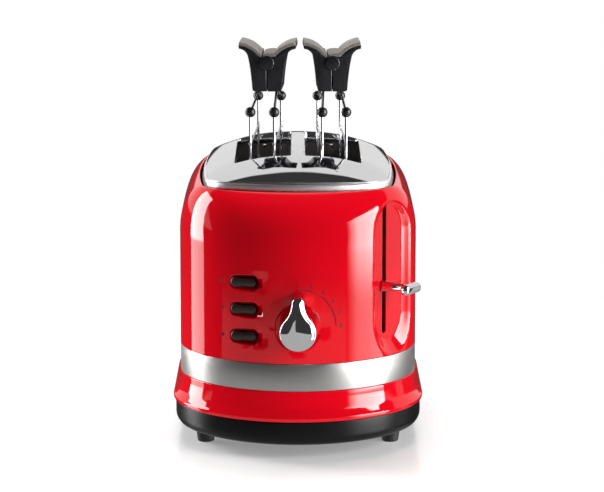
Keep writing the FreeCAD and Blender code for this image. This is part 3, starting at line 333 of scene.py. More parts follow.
def sweepRound(form, section, closed=True, steps=72):
    # A section of (outset, level) points goes round the body: spun about each end, drawn along each side.
    points = [(body["halfWidth"] + out, -body["straight"], z) for out, z in section]
    verts, edges = addLine(form, points, closed)
    geometry = verts + edges
    for end in (-1, 1):
        last = bmesh.ops.spin(form, geom=geometry, cent=(0, end * body["straight"] * mm, 0), axis=(0, 0, 1),
                              angle=-math.pi, steps=steps, use_merge=False)["geom_last"]
        grown = bmesh.ops.extrude_edge_only(form, edges=only(bmesh.types.BMEdge, last))["geom"]
        tip = only(bmesh.types.BMVert, grown)
        bmesh.ops.translate(form, vec=(0, -end * 2 * body["straight"] * mm, 0), verts=tip)
        geometry = tip + only(bmesh.types.BMEdge, grown)
    sortOut(form)


def bowed(y, share=1.0):
    # The lid's long sides swell out a little at the middle and draw in towards the ends.
    return 1 + share * (body["bow"][0] - body["bow"][1] * y * y)


def readPlan(plan):
    # Where an outline's small corner arcs have their centre, and the angle at which the end's arc starts.
    halfWidth, halfLength, endRadius, cornerRadius = plan
    across, reach = halfWidth - cornerRadius, halfLength - endRadius
    ahead = math.sqrt(max(0.0, (endRadius - cornerRadius) ** 2 - across ** 2))
    return across, reach, ahead, math.atan2(ahead, across)


def outlinePoint(plan, turn, slide):
    # The point where an outline's normal makes that angle with +X; slide runs along the straight sides.
    endRadius, cornerRadius = plan[2:]
    across, reach, ahead, join = readPlan(plan)
    sideways = 1 if math.cos(turn) >= 0 else -1
    folded = math.acos(min(1.0, abs(math.cos(turn))))
    if folded <= join:
        x, y = across + cornerRadius * math.cos(folded), cornerRadius * math.sin(folded)
        return sideways * x, slide * (reach + ahead) + (y if slide > 0 else -y)
    y = reach + endRadius * math.sin(folded)
    return sideways * endRadius * math.cos(folded), y if slide > 0 else -y


def lapPoint(plan, share):
    # In each half of a lap the end takes three quarters and the straight side the rest.
    endShare = 0.75
    half, local = divmod(2 * share, 1)
    way = 1 if half % 2 else -1
    turn = (0.0 if way > 0 else math.pi) + math.pi * min(1.0, local / endShare)
    slide = way * (1 - 2 * max(0.0, local - endShare) / (1 - endShare))
    x, y = outlinePoint(plan, turn, slide if abs(slide) > 1e-9 else 0.0)
    return x * bowed(y), y


def mixPlans(first, last, share):
    return [low + (high - low) * share for low, high in zip(first, last)]


def smoothMin(first, last, blend):
    share = max(0.0, min(1.0, 0.5 + 0.5 * (last - first) / blend))
    return last + (first - last) * share - blend * share * (1 - share)


# Red upper body: one pressed shell with its recesses drawn in and a rolled edge at the lid.
shell = {"pitch": 4.0, "rowPitch": 3.0, "gap": 0.15, "shoulderRun": 48.0, "rimRadius": 0.7, "rimDrop": 3.0,
         "rimMesh": 2.0, "shoulderLean": 0.8, "spread": 1.03, "tighter": 1.2, "cut": (68, 92),
         "slit": (5.0, 91.1), "slitLevel": 128.85, "buttonHole": (19.4, 7.4), "shaftHole": (7.2, 7.21)}
dish = {"turn": controls["leverTurn"], "floor": controls["dishFloor"], "x": 0.0, "z": 126.0, "width": 33.0,
        "height": 93.0, "slope": 0.68, "fillet": 1.6, "edge": 1.8, "margin": 12.0}
seat = {"turn": 0.0, "floor": 81.8, "x": 0.0, "z": controls["knobLevel"], "width": 31.0, "height": 31.0,
        "slope": 2.6, "fillet": 0.4, "edge": 0.5, "margin": 3.0, "plain": 12.0}
pockets = [{"turn": controls["buttonTurn"], "floor": controls["pocketFloor"], "x": controls["buttonX"],
            "z": level, "width": 20.0, "height": 8.0, "slope": 3.0, "fillet": 0.3, "edge": 0.4, "margin": 4.6,
            "scoop": 0.6} for level in controls["buttonLevels"]]
recesses = [dish, seat] + pockets
endRun, sideRun = math.pi * body["halfWidth"], 2 * body["straight"]
lap = 2 * (endRun + sideRun)
upright = body["shoulder"] - body["bandTop"] - shell["gap"]
climb = upright + shell["shoulderRun"] + 2 * shell["rimRadius"] + shell["rimDrop"]


def pressedIn(x, y, z, recess):
    # A point of the plain wall moves back to the recess's floor or to its sloping side.
    across, ahead = math.sin(math.radians(recess["turn"])), math.cos(math.radians(recess["turn"]))
    forward = x * across - (y + body["straight"]) * ahead
    aside = x * ahead + (y + body["straight"]) * across
    radius = min(recess["width"], recess["height"]) / 2
    past = aside - recess["x"] - recess["width"] / 2 + radius
    up = abs(z - recess["z"])
    out = math.hypot(max(0.0, abs(aside - recess["x"]) - recess["width"] / 2 + radius),
                     max(0.0, up - recess["height"] / 2 + radius)) - radius
    rise = recess["slope"] * (math.hypot(max(0.0, out), recess["fillet"]) - recess["fillet"])
    if "scoop" in recess and past > 0 and up < radius:
        # a fingertip's scoop at the end towards the knob
        rise = max(0.0, past - math.sqrt(radius ** 2 - up ** 2)) / recess["scoop"]
    forward = smoothMin(forward, recess["floor"] + rise, recess["edge"])
    return forward * across + aside * ahead, -forward * ahead + aside * across - body["straight"]


def shellPoint(u, v):
    # u runs round the wall and v up it, both in millimetres.
    half, u = divmod(u % lap, endRun + sideRun)
    turn = math.pi + min(u / body["halfWidth"], math.pi)
    slide = -1 + 2 * max(0.0, u - endRun) / sideRun
    if half:
        turn, slide = turn - math.pi, -slide
    wallPlan = (body["halfWidth"], body["halfLength"], body["halfWidth"] + 0.1, body["halfWidth"] - 0.1)
    if v <= upright:
        plan, z, over, drawnIn = wallPlan, body["bandTop"] + shell["gap"] + v, 0.0, 0.0
    else:
        full = math.radians(body["shoulderTurn"])
        angle = full * min(1.0, (v - upright) / shell["shoulderRun"])
        drawnIn = (1 - math.cos(angle)) / (1 - math.cos(full))
        plan = mixPlans(wallPlan, body["openingPlan"], drawnIn)
        z = body["shoulder"] + (body["opening"] - body["shoulder"]) * math.sin(angle) / math.sin(full)
        over = max(0.0, v - upright - shell["shoulderRun"])
    if over:
        # the rolled edge turns from the shoulder's slope to straight down
        radius = shell["rimRadius"]
        start = math.radians(90 - body["shoulderTurn"])
        swing = min(over / radius, math.pi / 2 + start)
        plan = [size - radius * (math.sin(swing - start) + math.sin(start)) for size in plan]
        z -= radius * (math.cos(start) - math.cos(swing - start)) + max(0.0, over - swing * radius)
    x, y = outlinePoint(plan, turn, slide)
    x *= bowed(y, drawnIn)
    for recess in recesses if y < -body["straight"] else ():
        x, y = pressedIn(x, y, z, recess)
    return Vector((x, y, z)) * mm


def nearRecess(u, v, tight):
    # The finer mesh covers each recess; its tighter part leaves out the dish and the seat's middle.
    if not 0 < u < endRun:
        return False
    straightUp = body["shoulder"] - body["bandTop"]
    z = body["bandTop"] + v if v < straightUp else body["shoulder"] + (v - straightUp) * shell["shoulderLean"]
    for recess in recesses[1:] if tight else recesses:
        margin = recess["margin"] - (shell["tighter"] if tight else 0)
        middle = body["halfWidth"] * (math.pi / 2 + math.radians(recess["turn"]))
        aside = u - middle - recess["x"] * shell["spread"]
        up = z - recess["z"]
        if abs(aside) < recess["width"] / 2 + margin and abs(up) < recess["height"] / 2 + margin:
            if not tight or recess is not seat or math.hypot(aside, up) > seat["plain"]:
                return True
    return False


form = gridForm(round(lap / shell["pitch"]), round(climb / shell["rowPitch"]),
                lambda u, v: (u * lap, v * climb, 0))
for tight, cuts in ((False, 4), (True, 1)):
    close = [edge for edge in form.edges
             if all(nearRecess(vert.co.x, vert.co.y, tight) for vert in edge.verts)]
    bmesh.ops.subdivide_edges(form, edges=close, cuts=cuts, use_grid_fill=True)
rimStart = climb - shell["rimDrop"] - 2 * shell["rimRadius"] - shell["rimMesh"]
topRow = [edge for edge in form.edges if all(vert.co.y > rimStart for vert in edge.verts)
          and abs(edge.verts[0].co.y - edge.verts[1].co.y) > 1]
bmesh.ops.subdivide_edges(form, edges=topRow, cuts=3)
for vert in form.verts:
    vert.co = shellPoint(vert.co.x, vert.co.y)
sortOut(form)
outerShell = toObject("outerShell", form, "redStovingEnamel")
thicken(outerShell, body["shellWall"]).use_even_offset = True
settle(outerShell)

# The lever's slit, the holes of the three keys and the knob's shaft are cut in one step.
holes = [(controls["leverTurn"], pillOutline(*shell["slit"], controls["leverX"], shell["slitLevel"]))]
holes += [(controls["buttonTurn"], pillOutline(*shell["buttonHole"], controls["buttonX"], level))
          for level in controls["buttonLevels"]]
holes.append((0, pillOutline(*shell["shaftHole"], 0, controls["knobLevel"])))
cutters = bmesh.new()
for turn, outline in holes:
    single = bmesh.new()
    addPrism(single, outline, *(-body["straight"] - distance for distance in shell["cut"]))
    turnedForm(single, turn)
    sortOut(single)
    scratch = bpy.data.meshes.new("scratch")
    single.to_mesh(scratch)
    single.free()
    cutters.from_mesh(scratch)
    bpy.data.meshes.remove(scratch)
cutFrom(outerShell, cutters)
fit(settle(outerShell), "housing", "red_enamel", "outer_shell")
print("shell made:", len(outerShell.data.polygons), "faces")

# Brushed band between the shell and the skirt.
band = {"low": 49.15, "high": 68.35, "wall": 1.2, "corner": 0.35}
form = bmesh.new()
sweepRound(form, roundOff([(0, band["low"]), (0, band["high"]), (-band["wall"], band["high"]),
                           (-band["wall"], band["low"])], band["corner"], 3))
fitForm("trimBand", form, "brushedStainlessSteel", "housing", "brushed_band", "trim_band")

# Flared skirt with its rounded lip, and the tongue that stands behind the band.
skirt = {"tongue": (-1.5, 68.9), "inner": -3.5, "bandFoot": 49.0, "low": 28.0}
section = [skirt["tongue"], (skirt["tongue"][0], skirt["bandFoot"]), (0, skirt["bandFoot"]), (0.15, 44.5),
           (1.6, 36.6), (4.1, 32.6), (5.4, 31.0), (5.2, skirt["low"]), (2.4, skirt["low"]), (-1.2, 39.6),
           (skirt["inner"], 45.0), (skirt["inner"], skirt["tongue"][1])]
form = bmesh.new()
sweepRound(form, roundOff(section, [0, 0, 0.7, 6, 7, 4, 1.5, 1.5, 0.6, 4, 2, 0], 6))
fitForm("baseSkirt", form, "redStovingEnamel", "housing", "red_moulding", "base_skirt")

# Black base: side and floor in one moulding, with the window for the crumb tray at the back.
base = {"outset": 3.6, "wall": 2.6, "reach": -20, "low": 10.0, "high": 27.9, "floor": 13.0,
        "windowY": 136, "windowDepth": 40, "bore": 1.9, "boreX": 53.0, "boreY": 76.0, "boreLevel": 12,
        "boreDepth": 20, "gland": 4.6, "glandLevel": 19.0, "glandTurn": 45, "glandDepth": 30}
tray = {"halfWidth": 41.0, "clear": 0.4, "wall": 0.8, "low": 14.2, "depth": 6.4, "edge": 1.5, "length": 248,
        "middle": 12, "plugY": 146, "plugHeight": 7.6}


def basePan(form):
    outset, low, inner = base["outset"], base["low"], base["outset"] - base["wall"]
    section = [(base["reach"], base["floor"]), (inner, base["floor"]), (inner, base["high"]),
               (outset, base["high"]), (outset, 16.0), (outset - 2.5, low + 1.6), (outset - 8.0, low),
               (base["reach"], low)]
    sweepRound(form, roundOff(section, [0, 3.0, 0.5, 0.9, 8, 5, 8, 0], 6, closed=False), closed=False)
    bmesh.ops.holes_fill(form, edges=[edge for edge in form.edges if edge.is_boundary])
    sortOut(form)


form = bmesh.new()
basePan(form)
pan = toObject("basePan", form, "mouldedPolypropylene")
plugLevel = tray["low"] + tray["plugHeight"] / 2
cutters = bmesh.new()
addBox(cutters, (2 * (tray["halfWidth"] + tray["clear"]), base["windowDepth"],
                 tray["plugHeight"] + 2 * tray["clear"]), (0, base["windowY"], plugLevel))
for side in (-1, 1):
    for end in (-1, 1):
        bore = addRod(cutters, base["bore"], base["boreDepth"], 24)
        place = Vector((side * base["boreX"], end * base["boreY"], base["boreLevel"]))
        bmesh.ops.translate(cutters, vec=place * mm, verts=bore)
glandPlace = (Matrix.Translation((0, body["straight"] * mm, 0))
              @ Matrix.Rotation(math.radians(base["glandTurn"]), 4, "Z")
              @ Matrix.Translation((0, body["halfWidth"] * mm, base["glandLevel"] * mm))
              @ Matrix.Rotation(math.radians(90), 4, "X"))
bmesh.ops.transform(cutters, matrix=glandPlace, verts=addRod(cutters, base["gland"], base["glandDepth"], 32))
cutFrom(pan, cutters)
fit(settle(pan), "housing", "black_moulding", "base_pan")

# Crumb tray: a shallow pan whose back edge is the piece of the base's wall that fills the window.
form = bmesh.new()
basePan(form)
crumbTray = toObject("crumbTray", form, "mouldedPolypropylene")
form = bmesh.new()
addBox(form, (2 * tray["halfWidth"], base["windowDepth"], tray["plugHeight"]), (0, tray["plugY"], plugLevel))
cutFrom(crumbTray, form, "INTERSECT")
form = bmesh.new()
addBox(form, (2 * tray["halfWidth"], tray["length"], tray["depth"]),
       (0, tray["middle"], tray["low"] + tray["depth"] / 2))
upper = max(form.faces, key=faceHeight)
roundEdges(form, [edge for edge in form.edges if upper not in edge.link_faces], tray["edge"], 3)
upper = max(form.faces, key=faceHeight)
bmesh.ops.inset_region(form, faces=[upper], thickness=tray["wall"] * mm)
drawOut(form, upper, (0, 0, tray["wall"] - tray["depth"]))
bmesh.ops.delete(form, geom=[upper], context="FACES_ONLY")
sortOut(form)
cutFrom(crumbTray, form, "UNION")
fit(settle(crumbTray), "tray", "black_moulding", "crumb_tray")
print("base made")

# Feet: turned rubber pads that taper to a softened rim.
foot = {"x": 66.0, "y": 76.0, "profile": [(0, 0), (5.8, 0), (7.3, 10), (0, 10)], "rounding": [0, 1.3, 0.3, 0]}
profile = roundOff(foot["profile"], foot["rounding"], 5, closed=False)
form = bmesh.new()
for side in (-1, 1):
    for end in (-1, 1):
        x, y = side * foot["x"], end * foot["y"]
        spinLine(form, [(x + out, y, z) for out, z in profile], (x, y, 0), (0, 0, 1), 40)
sortOut(form)
fitForm("feet", form, "vulcanisedRubber", "housing", "foot_rubber", "feet")

# Chrome lid: a pillow of pressed sheet with the slots' edges folded down, inside a rolled rim.
lid = {"plan": (66.8, 106.9, 139.9, 24.0), "rimTop": 189.3, "rise": 18.0, "wall": 1.1, "tuck": 1.6,
       "roundness": 0.8, "endRoundness": 1.4, "roundingRate": 2.2, "slotWidth": 39.5, "slotLength": 130.0,
       "slotCentre": 25.1, "slotCorner": 3.0, "fold": 1.5, "lipBottom": 198.3, "lipLeast": 0.5,
       "crownPower": 4 / 3, "widthPower": 0.5, "lengthPower": 0.26, "bodyRows": 32, "foldRows": 6,
       "outerRows": 1.15, "pitch": 1.2, "finePitch": 0.16, "fineReach": 3.0,
       "bead": [(0, 184.8), (0, 189.9), (-3.6, 189.9), (-3.6, 188.0), (-2.4, 187.4), (-2.4, 184.8)],
       "beadRounding": [2.1, 2.5, 0.8, 0.2, 0.3, 0.2], "rimSteps": 240}


def outside(plan, x, y):
    # How far a point lies outside an outline, in the quarter where x and y are positive.
    across, reach, ahead, join = readPlan(plan)
    x, y = abs(x) / bowed(y), abs(y)
    if y <= reach + ahead:
        return x - plan[0]
    if math.atan2(y - reach - ahead, x - across) <= join and x > across:
        return math.hypot(x - across, y - reach - ahead) - plan[3]
    return math.hypot(x, y - reach) - plan[2]


def lidPlan(share):
    # The lid's outline at a share of its rise; higher up its corners are rounder.
    fall = 1 - share ** lid["crownPower"]
    halfWidth, halfLength, end, corner = lid["plan"]
    halfWidth, end, corner = (size * fall ** lid["widthPower"] for size in (halfWidth, end, corner))
    halfLength *= fall ** lid["lengthPower"]
    rounding = min(1.0, share * lid["roundingRate"])
    return (halfWidth, halfLength, end + (lid["endRoundness"] * halfWidth - end) * rounding,
            corner + (lid["roundness"] * halfWidth - corner) * rounding)


def lastInside(isOutside, low, high):
    # Halves the range again and again to find where a line of points leaves the outline.
    for step in range(28):
        middle = (low + high) / 2
        low, high = (low, middle) if isOutside(middle) else (middle, high)
    return low


def lidHeight(x, y):
    share = lastInside(lambda share: outside(lidPlan(share), x, y) > 0, 0.0, 0.9999)
    return lid["rimTop"] + lid["rise"] * share


def reachOut(start, way):
    # Distance along a ray to the lid's own edge or to its middle line.
    plan = [size - lid["tuck"] for size in lid["plan"]]
    far = 200.0

    def isOutside(distance):
        return outside(plan, *(start + way * distance)) > 0

    if way.x < 0:
        far = min(far, -start.x / way.x)
    return lastInside(isOutside, 0.0, far) if isOutside(far) else far


centre = Vector((lid["slotCentre"], 0))
halfSlot = Vector((lid["slotWidth"] / 2, lid["slotLength"] / 2))
straightSlot = halfSlot - Vector((lid["slotCorner"], lid["slotCorner"]))
# the rays that start at these two points of a slot's ends meet both the lid's middle line and its edge
apex = Vector((-lid["slotCentre"], lid["plan"][1] - lid["tuck"]))
aim = apex.x * (halfSlot.y + lid["fold"]) / apex.y
corners = [(halfSlot.x, -halfSlot.y), (halfSlot.x, halfSlot.y), (aim, halfSlot.y), (-halfSlot.x, halfSlot.y),
           (-halfSlot.x, -halfSlot.y), (aim, -halfSlot.y)]
loop = roundOff(corners, [lid["slotCorner"] if abs(x) == halfSlot.x else 0 for x, y in corners], 5)
slotLine = []
for point, ahead in zip(loop, loop[1:] + loop[:1]):
    # rays that end far along the middle line start closer together
    fine = max(point.x, ahead.x) < aim + 0.01 and abs(point.y + ahead.y) > 2 * (halfSlot.y - lid["fineReach"])
    parts = max(1, round((ahead - point).length / lid["finePitch" if fine else "pitch"]))
    slotLine += [point.lerp(ahead, part / parts) for part in range(parts)]


def lidPoint(point, row):
    # Row 0 is the lip in the slot, the next rows turn over the fold, and the rest run out to the rim.
    inner = Vector([max(-limit, min(limit, size)) for limit, size in zip(straightSlot, point)])
    outward = (point - inner).normalized()
    start = centre + point + outward * lid["fold"]
    if row > lid["foldRows"]:
        way = (start - centre).normalized()
        share = (row - lid["foldRows"] - 1) / lid["bodyRows"]
        place = start + way * reachOut(start, way) * (1 - (1 - share) ** lid["outerRows"])
        return Vector((*place, lidHeight(*place))) * mm
    top = lidHeight(*start)
    if row == 0:
        lip = min(lid["lipBottom"], top - lid["fold"] - lid["lipLeast"])
        return Vector((*(centre + point), lip)) * mm
    swing = math.pi / 2 * (lid["foldRows"] - row) / lid["foldRows"]
    place = centre + point + outward * lid["fold"] * (1 - math.sin(swing))
    return Vector((*place, top - lid["fold"] * (1 - math.cos(swing)))) * mm


columns, rows = len(slotLine), lid["bodyRows"] + lid["foldRows"] + 1
form = gridForm(columns, rows, lambda u, v: lidPoint(slotLine[round(u * columns) % columns], round(v * rows)))
sortOut(form)
bmesh.ops.mirror(form, geom=form.verts[:] + form.edges[:] + form.faces[:], matrix=Matrix(), merge_dist=1e-6,
                 axis="X")
sortOut(form)
if max(form.faces, key=faceHeight).normal.z < 0:
    bmesh.ops.reverse_faces(form, faces=form.faces)
topLid = toObject("topLid", form, "chromePlate")
thicken(topLid, lid["wall"])
settle(topLid, 40)

bead = roundOff(lid["bead"], lid["beadRounding"], 8)


def rimPoint(u, v):
    out, level = bead[round(v * len(bead)) % len(bead)]
    return Vector((*lapPoint([size + out for size in lid["plan"]], u % 1.0), level)) * mm


form = gridForm(lid["rimSteps"], len(bead), rimPoint)
sortOut(form)
lidRim = settle(toObject("lidRim", form, "rolledSteelEdge"), 40)
fit(topLid, "housing", "chrome_plate", "top_lid")
fit(lidRim, "housing", "chrome_plate", "top_lid")

# Plate under the lid that follows the opening, with room for the chassis in the middle.
lidFrame = {"low": 180.5, "high": 185.0, "inset": 2.5, "edge": 0.8, "room": (126.0, 140.0, 400), "steps": 240}
plan = [size - lidFrame["inset"] for size in body["openingPlan"]]
outline = [lapPoint(plan, 0.5 + step / lidFrame["steps"]) for step in range(lidFrame["steps"])]
form = bmesh.new()
plate = form.faces.new([form.verts.new((x * mm, y * mm, lidFrame["low"] * mm)) for x, y in outline])
upper = drawOut(form, plate, (0, 0, lidFrame["high"] - lidFrame["low"]))
roundEdges(form, upper, lidFrame["edge"], 3)
sortOut(form)
framePlate = toObject("lidFrame", form, "blackenedSheet")
form = bmesh.new()
addBox(form, lidFrame["room"])
cutFrom(framePlate, form)
fit(settle(framePlate), "housing", "pressed_steel", "lid_frame")
print("lid made:", len(topLid.data.polygons), "faces")

# Browning knob: a drop-shaped bar with hollow flanks, well rounded in front, on a round collar.
knob = {"radius": 12.6, "tipTop": 25.1, "tipRadius": 4.2, "flank": 20.0, "back": -136.8, "front": -159.2,
        "bevel": 1.5, "bevelRows": 6, "crown": 1.7, "crownRows": 8, "crownFall": 0.62, "crownPower": 1.6,
        "faceMargin": 0.15, "faceInset": 0.02, "collarBack": -134.2, "collarRadius": 12.2}


def dropOutline(shrink):
    body, tip, flank = knob["radius"] - shrink, knob["tipRadius"] - shrink, knob["flank"] + shrink
    tipZ = knob["tipTop"] - knob["tipRadius"]
    far, near = flank + body, flank + tip
    hubZ = (far ** 2 - near ** 2 + tipZ ** 2) / (2 * tipZ)
    hubX = math.sqrt(far ** 2 - hubZ ** 2)
    lean, tilt = math.atan2(hubZ, hubX), math.atan2(hubZ - tipZ, hubX)
    right = sweepArc((0, 0), body, -math.pi / 2, lean, 40)
    right += sweepArc((hubX, hubZ), flank, lean + math.pi, tilt + math.pi, 24)[1:]
    right += sweepArc((0, tipZ), tip, tilt, math.pi / 2, 14)[1:]
    return right + [(-x, z) for x, z in reversed(right[1:-1])]


def bridge(form, rings):
    # Walls between closed lines of points, with a face at both ends; the last face comes back.
    before = None
    for ring in rings:
        verts, edges = addLine(form, ring)
        if before:
            bmesh.ops.bridge_loops(form, edges=before + edges)
        else:
            form.faces.new(verts)
        before = edges
    return form.faces.new(verts)


# Rings of the drop's outline, each a little smaller, turn over a tight edge on to a crowned face.
rows = [(0.0, knob["back"])]
for step in range(knob["bevelRows"] + 1):
    turn = math.pi / 2 * step / knob["bevelRows"]
    rows.append((knob["bevel"] * (1 - math.cos(turn)),
                 knob["front"] + knob["crown"] + knob["bevel"] * (1 - math.sin(turn))))
for step in range(1, knob["crownRows"] + 1):
    share = step / knob["crownRows"]
    rows.append((knob["bevel"] + (knob["tipRadius"] - knob["bevel"] - knob["faceMargin"]) * share,
                 knob["front"] + knob["crown"] * (1 - share * knob["crownFall"]) ** knob["crownPower"]))
form = bmesh.new()
rings = [[(x, y, controls["knobLevel"] + z) for x, z in dropOutline(shrink)] for shrink, y in rows]
bmesh.ops.inset_region(form, faces=[bridge(form, rings)], thickness=knob["faceInset"] * mm)
collar = sweepArc((0, controls["knobLevel"]), knob["collarRadius"], 0, 2 * math.pi, 48)[:-1]
addPrism(form, collar, knob["collarBack"], knob["back"] - 1)
sortOut(form)
fitForm("browningKnob", form, "chromePlate", "browning_control", "chrome_plate", "browning_knob",
        sharpAngle=50)

# Push buttons: long gloss keys, a little waisted, on stems that meet their switches.
button = {"width": 18.6, "height": 6.6, "waist": 0.5, "proud": 3.4, "depth": 7.4, "bevel": 1.0,
          "endSteps": 14, "waistSteps": 12, "stemWidth": 5.0, "stemHeight": 3.0, "stemLength": 7.0}
buttonX = controls["buttonX"]


def buttonOutline(level):
    # The waist is drawn in along each long side, after the arc of each end.
    outline = pillOutline(button["width"], button["height"], buttonX, level, button["endSteps"])
    ends, half = len(outline) // 2, button["height"] / 2
    reach = button["width"] / 2 - half
    points = []
    for way, arc in ((1, outline[:ends]), (-1, outline[ends:])):
        points += arc
        for step in range(1, button["waistSteps"]):
            share = step / button["waistSteps"]
            drawnIn = button["waist"] * math.sin(math.pi * share) ** 2
            points.append((buttonX + way * reach * (1 - 2 * share), level + way * (half - drawnIn)))
    return points


for name, level in zip(("top", "middle", "bottom"), controls["buttonLevels"]):
    front = -body["straight"] - controls["pocketFloor"] - button["proud"]
    root = front + button["depth"]
    form = bmesh.new()
    addPrism(form, buttonOutline(level), root, front, button["bevel"], 5)
    stem = [(buttonX + across * button["stemWidth"] / 2, level + up * button["stemHeight"] / 2)
            for across, up in ((-1, -1), (1, -1), (1, 1), (-1, 1))]
    addPrism(form, stem, root + button["stemLength"], root)
    turnedForm(form, controls["buttonTurn"])
    sortOut(form)
    fitForm(name + "Button", form, "glossAbs", name + "_button", "black_button", "button_" + name)

# Lever paddle: a soft chrome bar across the arm, on a flared neck.
paddle = {"level": 117.6, "reach": 22.0, "length": 20.0, "height": 7.5, "depth": 7.0, "edge": 2.9,
          "tip": (6.0, 5.2), "root": (10.0, 7.6), "corner": 1.8, "flare": 2.2, "rings": 18, "start": 1.0,
          "short": 2.2}
front = -body["straight"] - controls["dishFloor"] - paddle["reach"]
form = bmesh.new()
addBox(form, (paddle["length"], paddle["depth"], paddle["height"]),
       (controls["leverX"], front, paddle["level"]))
roundEdges(form, form.edges[:], paddle["edge"], 8)
rings = []
for step in range(paddle["rings"] + 1):
    share = step / paddle["rings"]
    width, height = mixPlans(paddle["tip"], paddle["root"], share ** paddle["flare"])
    ring = roundOff([(width / 2, -height / 2), (width / 2, height / 2), (-width / 2, height / 2),
                     (-width / 2, -height / 2)], paddle["corner"], 4)
    y = front + paddle["start"] + (paddle["reach"] - paddle["short"]) * share
    rings.append([(controls["leverX"] + x, y, paddle["level"] + z) for x, z in ring])
bridge(form, rings)
turnedForm(form, controls["leverTurn"])
bmesh.ops.recalc_face_normals(form, faces=form.faces)
fitForm("leverPaddle", form, "chromePlate", "carriage", "chrome_plate", "lever_paddle", sharpAngle=40)
print("controls made")

# Printed dial and icons: thin films of ink that follow the curve of the front.
dial = {"z": 95.1, "radius": 26.7, "line": 0.7, "numeralRadius": 29.9, "numeralSize": 4.0, "bolder": 0.1,
        "film": 0.05, "sunk": 0.02, "marks": 6, "markTurn": 18, "iconX": -52.5, "iconSize": 1.9,
        "ringGap": 0.3, "ringLine": 0.45, "starWaist": 0.3, "dotShare": 0.6}


def addFilm(form, outline):
    addPrism(form, outline, dial["film"] / 2, -dial["film"] / 2)


def addCurve(form, curve, place=Matrix()):
    # A curve or a text becomes a mesh at its place in the form.
    carrier = bpy.data.objects.new("curve", curve)
    scene.collection.objects.link(carrier)
    bpy.context.view_layer.update()
    mesh = finalMesh(carrier)
    mesh.transform(place)
    form.from_mesh(mesh)
    bpy.data.objects.remove(carrier)


form = bmesh.new()
for step in range(dial["marks"]):
    curve = bpy.data.curves.new("numeral", "FONT")
    curve.body = str(step + 1)
    curve.size = dial["numeralSize"] * mm
    curve.extrude = dial["film"] / 2 * mm
    curve.offset = dial["bolder"] * mm
    curve.align_x, curve.align_y = "CENTER", "CENTER"
    turn = math.radians(90 - dial["markTurn"] * step)
    place = Vector((math.cos(turn), 0, math.sin(turn))) * dial["numeralRadius"] + Vector((0, 0, dial["z"]))
    addCurve(form, curve, Matrix.Translation(place * mm) @ Matrix.Rotation(math.radians(90), 4, "X"))
addFilm(form, sweepArc((0, dial["z"]), dial["radius"], math.pi / 2, 0, 60)
        + sweepArc((0, dial["z"]), dial["radius"] - dial["line"], 0, math.pi / 2, 60))
ringPlace, starPlace, dotPlace = [(dial["iconX"], level) for level in controls["buttonLevels"]]
size, gap, fullTurn = dial["iconSize"], dial["ringGap"], 2 * math.pi
addFilm(form, sweepArc(ringPlace, size, gap, fullTurn - gap, 28)
        + sweepArc(ringPlace, size - dial["ringLine"], fullTurn - gap, gap, 28))
outer, inner = (sweepArc(starPlace, size * share, 0, fullTurn, 12) for share in (1, dial["starWaist"]))
addFilm(form, [(outer if step % 2 else inner)[step] for step in range(12)])
addFilm(form, sweepArc(dotPlace, size * dial["dotShare"], 0, fullTurn, 24)[:-1])
for vert in form.verts:
    x = vert.co.x / mm
    vert.co.y -= (body["straight"] + math.sqrt(body["halfWidth"] ** 2 - x * x) + dial["sunk"]) * mm
bmesh.ops.recalc_face_normals(form, faces=form.faces)
fitForm("dialPrint", form, "paddedInk", "housing", "black_moulding", sharpAngle=40)

# Tongs: for each pair a pin with caps, and two halves of grip, pad, wire jaw and beads.
tong = {"bottom": 245.0, "depth": 36.0, "pivot": 20.5, "knuckle": 5.0, "gap": 0.4, "pinRadius": 1.5,
        "pinClear": 0.1, "capRadius": 5.2, "capWall": 1.4, "pad": 2.4, "gripEdge": 0.9, "padEdge": 0.6,
        "waist": 0.055, "waistHeight": 20.0}
jaw = {"wire": 0.9, "inside": 6.4, "spacing": 17.0, "halfLength": 50.0, "bend": 5.0, "shoulder": 11.0,
       "bottom": 77.2, "barShare": 0.85, "barDrop": 23, "barPitch": 26.5, "barMargin": 10, "weld": 1.25,
       "bead": 3.75, "beadTurn": 1.15, "neck": [(-7, 7), (-9, -1)], "hole": [(0.95, -3.35), (1.5, -3.5)]}


def arcThrough(first, middle, last, steps):
    # Points on the circle through three corners, without the first.
    (ax, az), (bx, bz), (cx, cz) = first, middle, last
    a, b, c = (x ** 2 + z ** 2 for x, z in (first, middle, last))
    spread = 2 * (ax * (bz - cz) + bx * (cz - az) + cx * (az - bz))
    hx = (a * (bz - cz) + b * (cz - az) + c * (az - bz)) / spread
    hz = (a * (cx - bx) + b * (ax - cx) + c * (bx - ax)) / spread
    start, end = math.atan2(az - hz, ax - hx), math.atan2(cz - hz, cx - hx)
    if abs(end - start) > math.pi:
        end += 2 * math.pi if end < start else -2 * math.pi
    return sweepArc((hx, hz), math.hypot(ax - hx, az - hz), start, end, steps)[1:]


